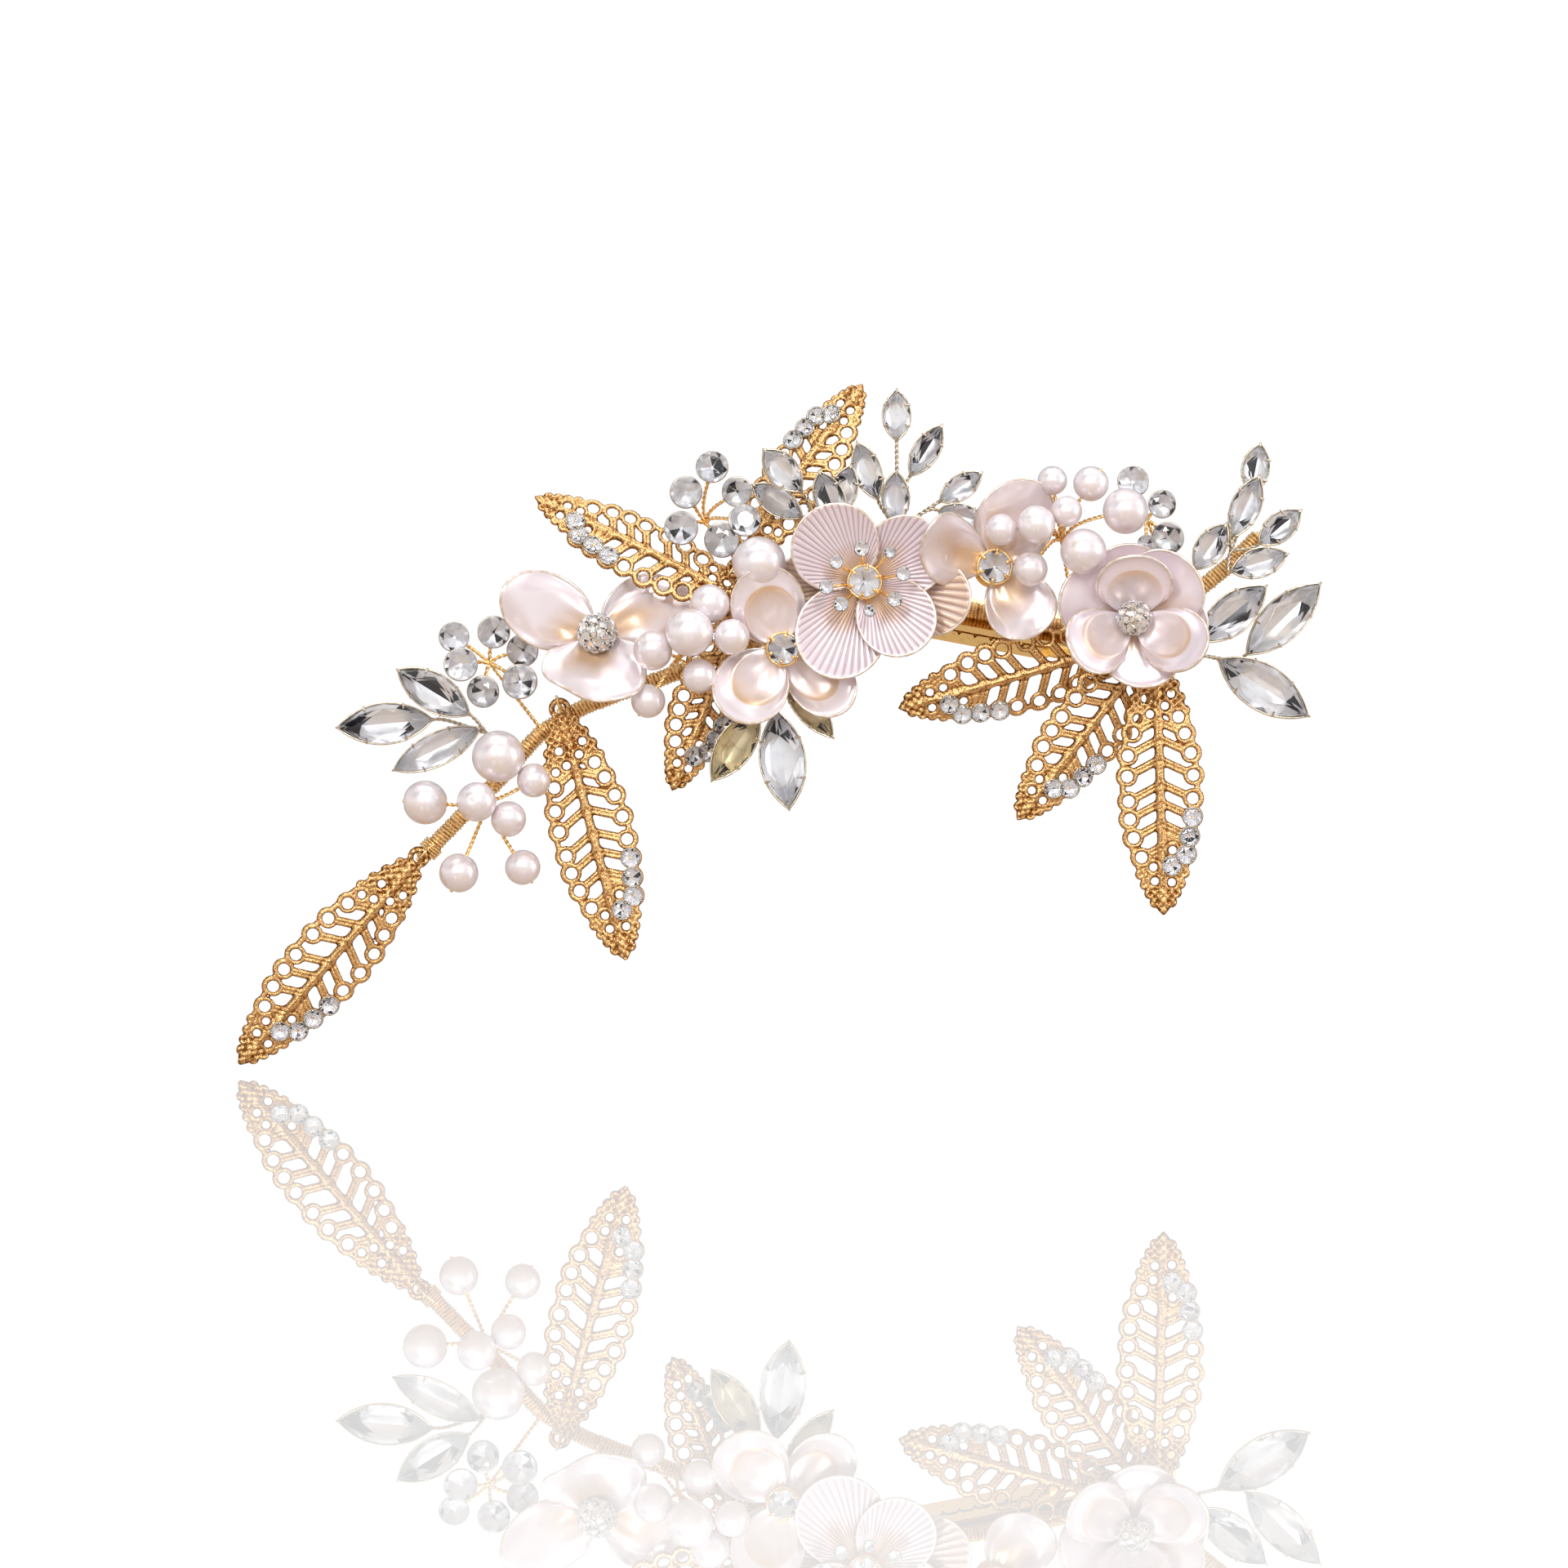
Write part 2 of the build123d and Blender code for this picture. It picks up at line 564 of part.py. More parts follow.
def setting(length, width, stone):
    """The metal cup that backs a marquise stone, with a rim round its girdle."""
    rim = 0.5
    points = navette(length + 2 * rim, width + rim, 0.05 * width)
    points += navette(length + 2 * rim, width + rim, -0.1 * width)
    keel = -0.36 * width - 0.45
    points += [(-0.3 * length, 0.5, keel), (-0.3 * length, -0.5, keel)]
    points += [(0.3 * length, 0.5, keel), (0.3 * length, -0.5, keel)]
    return ConvexPolyhedron(points) - stone


def save_marquises():
    """Six sprays of boat-shaped stones in metal settings on wires."""
    for side, stones in MARQUISES.items():
        root, fork = MARQUISE_WIRES[side]
        metal = wire([root, fork]) + Pos(*fork) * Sphere(WIRE_RADIUS)
        gems = []
        for x, y, z, length, width, direction, lean in stones:
            frame = facing((x, y, z), direction, lean)
            gem = marquise(length, width)
            heel = frame * Pos(-length / 2 + 0.3, 0, -0.15 * width)
            leg = rod(fork, tuple(heel.position), WIRE_RADIUS) - frame * gem
            metal += largest(leg)
            metal += frame * setting(length, width, gem)
            gems.append(frame * gem)
        save(f"{side}_marquise_stones", gems)
        save(f"{side}_marquise_settings", [metal])


# Flowers

def petal(centre, direction, lean, length, width, dish, step_back):
    """A dished oval petal: a slice of a thin ball that is lowest near the flower's centre."""
    x, y, z = centre
    frame = facing((x, y + step_back, z), direction, lean)
    middle = Pos(PETAL_START + PETAL_LOW * length, 0, dish)
    ball = middle * (Sphere(dish) - Sphere(dish - PETAL_SHEET))
    outline = Pos(PETAL_START + length / 2, 0) * Ellipse(length / 2, width / 2)
    column = extrude(Pos(0, 0, -0.2) * outline, dish)
    return frame * largest(ball & column)


def stone_level(name):
    """Where the flower's middle stone sits."""
    x, y, z = FLOWERS[name]
    return (x, y - CENTRE_RISE, z)


def chaton(radius):
    """A round stone with a flat table and a cone back."""
    crown = Cone(radius, 0.6 * radius, 0.35 * radius, align=BOTTOM)
    back = Pos(0, 0, -0.7 * radius) * Cone(0.15 * radius, radius, 0.7 * radius, align=BOTTOM)
    return crown + back


def claw_cup(radius):
    """A conical metal cup with four claws over the stone's edge."""
    cup = Pos(0, 0, -0.8 * radius) * Cone(0.4 * radius, 1.15 * radius, 0.8 * radius, align=BOTTOM)
    for turn in range(4):
        foot = Rot(0, 0, 45 + 90 * turn) * Pos(1.08 * radius, 0, -0.15 * radius)
        cup += foot * Cylinder(0.3, 0.55 * radius, align=BOTTOM)
    return cup - chaton(radius)


def disc(name):
    """Backing disc of a flower, its shank to the middle stone and its leg to the stem."""
    x, y, z = FLOWERS[name]
    back = (x, y + DISC_SETBACK, z)
    plate = facing(back, 90, 0) * Cylinder(DISC_RADIUS, DISC_SHEET)
    depth = 0.8 * CHATON_RADIUS[name] if name in CHATON_RADIUS else PAVE_RADIUS[name] + 0.05
    plate += rod(back, (x, y - CENTRE_RISE + depth, z), SHANK_RADIUS)
    return plate + rod(back, DISC_ROOTS[name], SHANK_RADIUS)


def stamens():
    """Eight bent wires round the main flower's middle, each with a small stone."""
    x, y, z = FLOWERS["main_flower"]
    wires, stones = [], []
    for tip_x, tip_z in STAMEN_TIPS:
        out = Vector(tip_x - x, 0, tip_z - z).normalized()
        foot = (x + 2.2 * out.X, y - 1.0, z + 2.2 * out.Z)
        knee = (x + 3.6 * out.X, y - 2.8, z + 3.6 * out.Z)
        tip = (tip_x, STAMEN_Y, tip_z)
        stone = facing(tip, 90, 0) * round_crystal(STAMEN_STONE_RADIUS)
        wires.append(clear_of(wire([foot, knee, tip], STAMEN_WIRE_RADIUS), [stone]))
        stones.append(stone)
    return wires, stones


def save_centres():
    """Pave balls, claw-set stones and the main flower's stamens; returns all of them."""
    middles = []
    for name, radius in PAVE_RADIUS.items():
        ball = Pos(*stone_level(name)) * Sphere(radius)
        save(f"{name}_pave_ball", [ball])
        middles.append(ball)
    for name, radius in CHATON_RADIUS.items():
        frame = facing(stone_level(name), 90, 0)
        stone, cup = frame * chaton(radius), frame * claw_cup(radius)
        save(f"{name}_crystal", [stone])
        save(f"{name}_claw_cup", [cup])
        middles += [stone, cup]
    wires, stones = stamens()
    save("main_flower_stamen_wires", wires)
    save("main_flower_stamen_stones", stones)
    return middles + wires + stones


def save_petals(fronts):
    """Rings of petals, each cut clear of what is in front and of the petals already placed."""
    placed = list(fronts)
    for name, shapes in PETALS.items():
        stem_word = name.split("_")[0]
        flower = next(flower for flower in FLOWERS if name.startswith(flower) or
                      flower.startswith(stem_word) and stem_word == "rose")
        petals = []
        for shape in shapes:
            blade = clear_of(petal(FLOWERS[flower], *shape), placed)
            petals.append(blade)
            placed.append(blade)
        save(name, petals)


def main():
    os.makedirs("parts", exist_ok=True)
    save("stem_core_wire", [stem_tube(CORE_RADIUS)])
    save("stem_thread_wrap", [stem_tube(WRAP_RADIUS, WRAP_BORE)])
    save_clip()
    save_leaves()
    fronts = save_beads()
    save_marquises()
    discs = [disc(name) for name in FLOWERS]
    save("flower_backing_discs", discs)
    save_petals(fronts + discs + save_centres())


main()
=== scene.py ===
import json
import math

import bmesh
import bpy
import numpy as np
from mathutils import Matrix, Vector


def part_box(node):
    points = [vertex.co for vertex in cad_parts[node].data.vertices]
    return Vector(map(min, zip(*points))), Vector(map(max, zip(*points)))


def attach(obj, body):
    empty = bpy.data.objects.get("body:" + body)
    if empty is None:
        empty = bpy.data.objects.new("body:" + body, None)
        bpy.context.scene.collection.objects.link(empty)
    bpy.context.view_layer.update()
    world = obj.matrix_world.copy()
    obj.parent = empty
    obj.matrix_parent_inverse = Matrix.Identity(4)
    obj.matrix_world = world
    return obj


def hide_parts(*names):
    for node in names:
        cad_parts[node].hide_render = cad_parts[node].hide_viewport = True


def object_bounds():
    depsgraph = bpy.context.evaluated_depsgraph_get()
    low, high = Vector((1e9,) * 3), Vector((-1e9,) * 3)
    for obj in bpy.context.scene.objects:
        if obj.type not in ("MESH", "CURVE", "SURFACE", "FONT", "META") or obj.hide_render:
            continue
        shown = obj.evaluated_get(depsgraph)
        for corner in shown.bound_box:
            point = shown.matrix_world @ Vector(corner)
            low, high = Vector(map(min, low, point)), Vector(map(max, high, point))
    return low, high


# Bridal hair spray: filigree leaves, shell-petal flowers, pearls and crystals wired to a
# thread-wrapped stem on a sprung hair clip. Everything is in metres, in the frame of the CAD parts.

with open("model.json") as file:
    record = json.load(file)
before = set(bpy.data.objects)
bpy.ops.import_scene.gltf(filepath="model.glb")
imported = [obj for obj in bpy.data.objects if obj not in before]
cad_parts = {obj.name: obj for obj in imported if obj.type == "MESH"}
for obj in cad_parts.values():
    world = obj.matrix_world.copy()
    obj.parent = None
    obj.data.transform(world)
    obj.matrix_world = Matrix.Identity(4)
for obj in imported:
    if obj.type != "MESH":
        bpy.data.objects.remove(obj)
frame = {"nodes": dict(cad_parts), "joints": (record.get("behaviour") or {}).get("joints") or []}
CAD_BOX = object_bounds()
SCENE = bpy.context.scene
NODES = frame["nodes"]
HINGE = frame["joints"][0]
FIXED = "hairpiece"
MOVING = "lower_jaw"
VIEWER = np.array((0.0, -1.0, 0.0))
LAYOUT_DROP = np.array((0.0, 0.0, -0.0016))   # from the layout's zero to the grip's centre
DICE = np.random.RandomState(7)

# Stem: its route (x, z) in the layout, its depth, and the thread wound round it
STEM_ROUTE = [
    (-0.086, -0.03525), (-0.08, -0.029), (-0.07275, -0.0219), (-0.0681, -0.01625),
    (-0.0619, -0.01225), (-0.0544, -0.0094), (-0.04375, -0.0056), (-0.034, -0.0018),
    (-0.027, 0.0035), (-0.0185, 0.0064), (0.01625, -0.0002), (0.0245, 0.0009),
    (0.0331, 0.0056), (0.03875, 0.01), (0.0431, 0.0144),
]
STEM_Y = -0.0029
STEM_BEND = 0.0024
STEM_STEP = 0.00011
WRAP_RADIUS = 0.00122
WRAP_SIDES = 20
THREAD_HEIGHT = 0.00011
THREAD_PITCH = 0.00056
ROOT_Y = STEM_Y - 0.00095
# Uneven winding: the share of its radius, and two crossed waves' turns per metre and round the stem
THREAD_LUMPS = [(0.04, 900, 0, 2300, 1), (0.05, 5200, 4, 700, 3)]
CORE_TIP = [(-0.0004, 0.0006), (0.0005, 0.0006), (0.0007, 0.00035)]   # past the stem's end, and radius

# Bead and stone wires: two thin strands twisted together
STRAND_RADIUS = 0.00017
STRAND_OFFSET = 0.00016
TWIST_PITCH = 0.0017
WIRE_STEP = 0.00022
NECK = 0.0002            # of a spray's stalk, next to where it spreads

# Wire that binds a leaf to the stem, and its loop through the eyelet: along the leaf, out of its face
BINDING_RADIUS = 0.0002
BINDING_TURNS = 4
BINDING_PITCH = 2.2 * BINDING_RADIUS
BINDING_LOOP = [(0, -0.0006), (-0.0002, 0), (0, 0.0008), (-0.0017, 0.0008), (-0.0021, -0.0005)]
TURN_POINTS = 20         # to a turn, and left free at each end of the stem

# Where each spray of wires leaves the stem, where it spreads, and the beads it carries (all if None)
PEARL_SPRAYS = {
    "left": [((-0.0746, ROOT_Y, -0.0237), (-0.0752, -0.0062, -0.026), None)],
    "mid": [
        ((-0.0305, ROOT_Y, 0.0008), (-0.0314, -0.0064, 0.0036), "nearest"),
        ((-0.0466, ROOT_Y, -0.0066), (-0.0462, -0.0108, -0.0046), None),
    ],
    "right": [((0.015, ROOT_Y, 0.0002), (0.0125, -0.0076, 0.0135), None)],
}
CRYSTAL_SPRAYS = {
    "left": [((-0.0672, ROOT_Y, -0.0156), (-0.075, -0.006, -0.0054), None)],
    "top": [((-0.0292, ROOT_Y, 0.0018), (-0.042, -0.0024, 0.0164), None)],
    "right": [((0.0306, ROOT_Y, 0.0042), (0.0258, -0.0066, 0.0166), None)],
}
MARQUISE_SPRAYS = {
    "left": ((-0.071, ROOT_Y, -0.0198), (-0.0756, -0.0062, -0.016)),
    "top_left": ((-0.0216, ROOT_Y, 0.0054), (-0.0255, -0.0072, 0.015)),
    "top": ((-0.012, ROOT_Y, 0.0052), (-0.0126, -0.006, 0.0152)),
    "right_top": ((0.038, ROOT_Y, 0.0094), (0.0386, -0.0056, 0.012)),
    "right": ((0.0276, ROOT_Y, 0.0025), (0.0336, -0.0076, -0.004)),
    "low": ((-0.0344, ROOT_Y, -0.002), (-0.0306, -0.0068, -0.0104)),
}

# Pearls, as parts of the radius: how uneven they are, and the dips at their drilled ends
PEARL_UNEVEN = 0.01
PEARL_SKEW = 0.006
DRILL_DIP = 0.05
DRILL_WIDTH = 0.02
WIRE_TIP = 0.0003        # radius of a wire's end, which shows beyond its pearl
TIP_FACING = 0.3         # no end shows on a pearl whose wire points more than this at the viewer

# Round stone of radius 1: rings of corners as radius, height, count and turn
ROUND_CUT = [
    (0.52, 0.4, 8, 0), (0.8, 0.26, 8, 0.5), (1, 0.05, 16, 0),
    (1, -0.03, 16, 0), (0.62, -0.33, 8, 0.5), (0.1, -0.62, 8, 0),
]
# Boat-shaped stone of length 1 and width 1: its ridge and keel (x, z), girdle, crown and belly
BOAT_POWER = 2.1
BOAT_RIDGE = [(0.5, 0.02), (0.44, 0.12), (0.34, 0.21), (0.5, -0.03), (0.42, -0.16), (0.25, -0.32)]
BOAT_GIRDLE = (-0.68, -0.36, 0.0, 0.36, 0.68)
GIRDLE_HEIGHTS = (0.02, -0.03)
BOAT_CROWN = [(0.15, 0.2, 0.23), (0.32, 0.25, 0.12)]
BOAT_SHOULDER = (0.38, 0.14)
BOAT_BELLY = (-0.3, -0.12, 0.08, 0.27)
BOAT_SIDE = 0.96         # where its widest corners are, as part of its width
CRYSTAL_TILT = 0.16
CRYSTAL_BACK = 0.75      # how deep a round crystal is behind its rim, as part of its radius

# Metal round a round stone: profiles of (radius, height) as parts of the stone's radius
CRYSTAL_RIM = [(0.94, -0.12), (1.03, -0.08), (1.05, 0.0), (1.03, 0.06), (0.98, 0.07)]
LEAF_COLLAR = [(0.9, -0.55), (1.1, -0.3), (1.14, 0.02), (1.03, 0.06), (0.98, -0.02)]
CLAW_CUP = [(0.42, -0.85), (0.8, -0.7), (1.08, -0.35), (1.12, -0.1), (1.05, -0.02), (0.96, -0.08)]
STAMEN_CUP = [(0.5, -0.8), (1.02, -0.3), (1.12, 0.0), (1.0, 0.04)]

# Metal round a boat-shaped stone: share of its outline, step outwards, height as part of its width
BOAT_CUP = [
    (0.3, 0.0, -0.47), (0.62, 0.0, -0.44), (0.9, 0.0001, -0.24), (1.0, 0.00028, -0.08),
    (1.0, 0.00024, 0.04), (1.0, 0.00006, 0.05), (1.0, 0.0, -0.02),
]
BOAT_CUP_SIDES = 48
BOAT_CLAWS = [(1, 0), (-1, 0), (0.42, 1), (0.42, -1), (-0.42, 1), (-0.42, -1)]   # share, side
BOAT_CLAW_BEND = [(0.0, -0.1), (0.0001, 0.06), (-0.0006, 0.17)]   # outwards, height as part of the width
BOAT_CLAW_GAP = 0.0002
BOAT_CLAW_RADIUS = 0.00017

# Leaf stamping, for a full-width blank: share of the length and distance off the midrib
LEAVES = [
    "leaf_far_left", "leaf_left_drop", "leaf_upper_left", "leaf_top",
    "leaf_centre_low", "leaf_right_inner", "leaf_right_middle", "leaf_right_outer",
]
FULL_WIDTH = 0.0132
OUTLINE_SHARE = 0.92
LEAF_FULLNESS = 0.8
LEAF_CELL = 0.00016
EYELET_CENTRE = 0.0006
EYELET_RADIUS = 0.0017
EYELET_HOLE = 0.0008
SCALLOP_RADIUS = 0.00175
RING_HOLE = 0.0009
WIDEST_RING = 0.0051
STONE_SIDE_RINGS = [
    (0.244, 0.0031), (0.308, 0.004), (0.383, 0.0048), (0.468, WIDEST_RING), (0.556, 0.0049),
]
PLAIN_SIDE_RINGS = [
    (0.3, 0.0039), (0.386, 0.0047), (0.465, 0.0049), (0.56, 0.0048), (0.628, 0.0047),
    (0.70, 0.0042), (0.775, 0.0031),
]
SMALL_HOLES = [
    (0.751, 0.0016), (0.874, 0.00136), (0.814, -0.00136), (0.868, -0.0012),
    (0.2, 0.0011), (0.23, -0.0012), (0.155, 0.0021), (0.17, -0.0018), (0.245, -0.0031),
]
SMALL_HOLE = 0.00062
EDGE_LUMPS = [0.07, 0.12, 0.17, 0.22, 0.84, 0.88, 0.915, 0.95]     # shares of the length
LUMP_RADIUS = 0.00085
VEIN_LEAN = 0.5            # how far a vein runs towards the tip for each step off the midrib
VEIN_HALF_WIDTH = 0.00067
MIDRIB_HALF_WIDTH = 0.0007
ROPE_WIDTH = 0.00066       # of the metal round a ring's hole
EDGE_BAND = 0.0009
CORNER_ROUND = 0.0005
LEAF_HALF_SHEET = 0.0003
RIM_ROUND = 0.0005
RIM_DROP = 0.00045
MIDRIB_HEIGHT = 0.00042
MIDRIB_WIDTH = 0.00045
FURROW = (0.00016, 0.0009, 0.0002)     # beside the midrib: depth, distance from it, width
HOLLOW = (0.0002, 0.0007, 0.00016)     # along each edge: depth, distance from it, width
SOLID_ENDS = (0.24, 0.86)              # shares of the length before and after which scrolls show
SCROLL_FADE = 20
SCROLL_HEIGHT = 0.0002
SCROLL_PITCH = 0.0013
GRAIN = 0.00003
PEBBLE = 0.00006
PEBBLE_WAVES = [(7300, 2.1, 5100), (6900, 1.7, 4300)]     # turns per metre, bend, its turns per metre
LEAF_ARCH = 0.0008
LEAF_CAMBER = 0.0007
LEAF_STONE_RADIUS = 0.0014
LEAF_STONE_FLAT = 0.58
LEAF_STONE_CLAW = 0.00024
LEAF_STONE_HEIGHT = 0.0009     # of a stone's middle above the middle of its leaf's sheet
LEAF_STONE_SINK = 0.0001
GRID_MARGINS = (0.0014, 0.0004, 0.002)     # of a leaf's grid before, after and beside the leaf
CUT_OUTSIDE = 1.1 * LEAF_CELL     # grid points this far outside and inside move onto the edge
CUT_INSIDE = 0.35 * LEAF_CELL

# Petals
PETAL_START = 0.001      # from the flower's root to the first row
PETAL_LOW = 0.3          # where a petal is lowest, as part of its length
PETAL_SHEET = 0.00045
CENTRE_RISE = 0.0024     # from where petals spring to the middle of their stone or ball
CHATON_CROWN = 0.35      # of a round middle stone, in front of its girdle, as part of its radius
# Direction and lean in degrees, length, width, dish radius, step back
PETALS = {
    "left_flower_petals": [
        (156, 6, 0.0145, 0.0116, 0.02, 0), (25, -14, 0.0146, 0.0114, 0.04, 0.0024),
        (266, 34, 0.0125, 0.0154, 0.016, 0),
    ],
    "mid_left_flower_petals": [
        (109, 10, 0.0122, 0.0112, 0.012, 0), (229, 10, 0.0128, 0.011, 0.012, 0),
        (-41, 0, 0.0124, 0.0092, 0.018, 0.0012),
    ],
    "main_flower_front_petals": [
        (130, 4, 0.0124, 0.0134, 0.024, 0), (33, 2, 0.0126, 0.012, 0.024, 0.0007),
        (-48, 6, 0.0124, 0.0116, 0.024, 0), (245, 4, 0.0146, 0.0134, 0.024, 0.0007),
    ],
    "main_flower_back_petals": [
        (-12, 0, 0.0154, 0.0122, 0.03, 0.0022), (187, 0, 0.0126, 0.0118, 0.03, 0.0022),
    ],
    "mid_right_flower_petals": [
        (65, 2, 0.013, 0.012, 0.018, 0), (160, 26, 0.0138, 0.0104, 0.014, 0),
        (-56, 8, 0.0118, 0.0102, 0.016, 0),
    ],
    "rose_inner_petals": [
        (90, 30, 0.0102, 0.0114, 0.009, 0), (212, 24, 0.0122, 0.01, 0.01, 0),
        (-29, 24, 0.0126, 0.0098, 0.01, 0),
    ],
    "rose_outer_petals": [
        (160, 10, 0.011, 0.0122, 0.013, 0.0016), (100, 10, 0.0106, 0.0122, 0.013, 0.0025),
        (42, 10, 0.0114, 0.0126, 0.013, 0.0016), (-16, 10, 0.0108, 0.0122, 0.013, 0.0025),
        (288, 10, 0.01, 0.0124, 0.013, 0.0016),
    ],
}
# Which middle each set of petals surrounds, how its petals are formed, and how much extra painted tan shade
# they get
FORMS = {
    "left_flower_petals": ("left_flower_pave_ball", "shell", 0.0),
    "mid_left_flower_petals": ("mid_left_flower_crystal", "bowl", 0.0),
    "main_flower_front_petals": ("main_flower_crystal", "pleat", 0.0),
    "main_flower_back_petals": ("main_flower_crystal", "pleat", 0.7),
    "mid_right_flower_petals": ("mid_right_flower_crystal", "shell", 0.1),
    "rose_inner_petals": ("rose_flower_pave_ball", "cup", 0.0),
    "rose_outer_petals": ("rose_flower_pave_ball", "rose", 0.0),
}
FLARE = {"shell": 0.0008, "bowl": 0.0014, "pleat": 0.0, "rose": 0.0007, "cup": 0.0015}
WAVE = {"shell": 0.0012, "bowl": 0.0002, "pleat": 0.00012, "rose": 0.0002, "cup": 0.0001}
NOTCH = {"shell": 0.04, "bowl": 0.008, "pleat": 0.0, "rose": 0.015, "cup": 0.0}
# Painted tan shade towards each petal's root
ROOT_SHADE = {"shell": 0.95, "bowl": 0.3, "pleat": 1.05, "rose": 0.9, "cup": 0.3}
RIM_SHADOW = {"bowl": 1.0, "cup": 0.9}     # how strong the painted shadow is in the hollow just inside the rim
RIM_SHADOW_FADE = 0.18     # and how far towards the root that takes to fade
RIM_START = 0.74         # where a bowl's flat rim begins, as part of its reach
PLEATS = 17
PLEAT_HEIGHT = 0.00016
CREASE_HEIGHT = 0.00007
PETAL_ROWS = 30
PETAL_COLS = 61
PLEAT_COLS = 273
FAN = 1.5                # half of the angle that a petal's columns fan out over
LIP_RADIUS = 0.00024

# The parts of a set stone, by their place in its materials, and the share of its back facets painted black
# as dark reflections
GLASS, FOIL, DARK_REFLECTION, GILT, SETTING = range(5)
BACK_FACING = -0.05      # height of a facet's normal below which it is foiled
DARK_REFLECTION_SHARE = 0.1
LARGE_STONE = 0.0105     # a longer stone takes the next share
LARGE_DARK_REFLECTION_SHARE = 0.13
GILT_STONES = [(-0.0374, -0.0179), (-0.02625, -0.012)]    # x, z in the layout
GILT_REACH = 0.002

# Flower middles: stamens (out from the middle, towards the viewer), claws and pave balls
STAMEN_FOOT = (0.0022, 0.001)
STAMEN_KNEE = (0.0036, 0.0028)
STAMEN_WIRE = 0.00024
CLAW_RADIUS = 0.00026
CUP_CLAWS = 6
PAVE_STONES = 42
PAVE_STONE_SHARE = 0.29
GOLDEN_ANGLE = math.pi * (3 - math.sqrt(5))
PAVE_DEPTHS = (0.86, 0.97, 0.92)     # of the ball, its stones and its metal beads, as parts of the radius

# Spring: turns and sizes of the coil on the hinge
COIL_RADIUS = 0.0012
COIL_WIRE = 0.00022
COIL_TURNS = 2.2
COIL_POINTS = 110
COIL_PITCH = 0.00048
COIL_START = 0.00027     # from the hinge's middle to the first turn
LEG_ENDS = (0.006, 0.003)
LEG_RISE = 0.0011

# Studio
FLOOR_GLOSS = 0.68       # of the floor where it is seen edge on
FLOOR_GAP = 0.0011
FLOOR_HALF = 6.0
FLOOR_BOUNCE = (0.62, 0.5, 0.4, 1)     # of the floor to everything but the camera
SEEN_WHITE = (1.05, 1.05, 1.05, 1)     # of the floor and surroundings to the camera
LAMP_AIM = (-0.03, 0, -0.005)
LAMPS = [     # name, place, width, height, power
    ("key_left", (-0.3, -0.72, 0.36), 0.1, 0.36, 2.3),
    ("key_right", (0.14, -0.76, 0.38), 0.09, 0.36, 2.0),
    ("top", (-0.03, -0.1, 0.75), 0.7, 0.5, 1.6),
    ("side_right", (0.7, -0.15, 0.15), 0.3, 0.5, 1.2),
    ("behind", (-0.03, 0.7, 0.3), 0.6, 0.4, 2.4),
]
CAMERA_AIM = (-0.03, -0.008, -0.02535)
VIEW_WIDTH = 0.24        # of what the camera sees at its aim
LENS = 100
SENSOR_WIDTH = 36


# Reading the CAD parts

def points_of(name):
    """All corners of a CAD node."""
    mesh = NODES[name].data
    flat = np.zeros(len(mesh.vertices) * 3, np.float32)
    mesh.vertices.foreach_get("co", flat)
    return flat.reshape(-1, 3).astype(float)


def islands(name):
    """The corners of each separate solid of a CAD node."""
    work = bmesh.new()
    work.from_mesh(NODES[name].data)
    bmesh.ops.remove_doubles(work, verts=work.verts, dist=1e-6)
    reached, found = set(), []
    for start in work.verts:
        waiting, corners = [start], []
        while waiting:
            vert = waiting.pop()
            if vert not in reached:
                reached.add(vert)
                corners.append(vert.co[:])
                waiting += [edge.other_vert(vert) for edge in vert.link_edges]
        if corners:
            found.append(np.array(corners))
    work.free()
    return found


def middle_and_half(corners):
    """Centre and half size of a set of points."""
    low, high = corners.min(0), corners.max(0)
    return (low + high) / 2, (high - low) / 2


def placed(point):
    """A layout point in the parts' frame."""
    return np.array(point) + LAYOUT_DROP


def unit(vector):
    """A vector of length 1."""
    return np.asarray(vector, float) / np.linalg.norm(vector)


# Gathering geometry

class Build:
    """Points and faces gathered from several parts and made into one object."""

    def __init__(self):
        self.points, self.faces, self.kinds, self.smooth = [], [], [], []
        self.tone, self.groove, self.count = [], [], 0

    def add(self, points, faces, kind=0, smooth=True, tone=0.0, groove=0.0):
        """Adds points with faces of one kind or of a list of kinds, and what their colour follows."""
        points = np.asarray(points, float).reshape(-1, 3)
        if isinstance(faces, np.ndarray):
            self.faces += (faces + self.count).tolist()
        else:
            self.faces += [[corner + self.count for corner in face] for face in faces]
        self.kinds += kind if isinstance(kind, list) else [kind] * len(faces)
        self.smooth += [smooth] * len(faces)
        self.points.append(points)
        self.tone.append(np.broadcast_to(tone, len(points)))
        self.groove.append(np.broadcast_to(groove, len(points)))
        self.count += len(points)

    def make(self, name, materials, replaced, slot, body=FIXED):
        """Makes the object, which replaces a CAD node and rides on a body."""
        mesh = bpy.data.meshes.new(name)
        mesh.from_pydata(np.vstack(self.points).tolist(), [], self.faces)
        for material in materials:
            mesh.materials.append(material)
        mesh.polygons.foreach_set("material_index", self.kinds)
        mesh.polygons.foreach_set("use_smooth", self.smooth)
        for label, values in (("tone", self.tone), ("groove", self.groove)):
            layer = mesh.attributes.new(label, "FLOAT", "POINT")
            layer.data.foreach_set("value", np.concatenate(values).astype(np.float32))
        mesh.update()
        piece = bpy.data.objects.new(name, mesh)
        SCENE.collection.objects.link(piece)
        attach(piece, body)
        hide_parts(replaced)


def grid_faces(rows, cols, wrap=False):
    """Quads of a grid of points, joined round its columns if wrap."""
    row = np.arange(rows - 1)[:, None]
    col = np.arange(cols if wrap else cols - 1)[None, :]
    after = (col + 1) % cols
    corners = [row * cols + col, row * cols + after, (row + 1) * cols + after, (row + 1) * cols + col]
    return np.stack([np.broadcast_to(c, (rows - 1, col.shape[1])) for c in corners], -1).reshape(-1, 4)


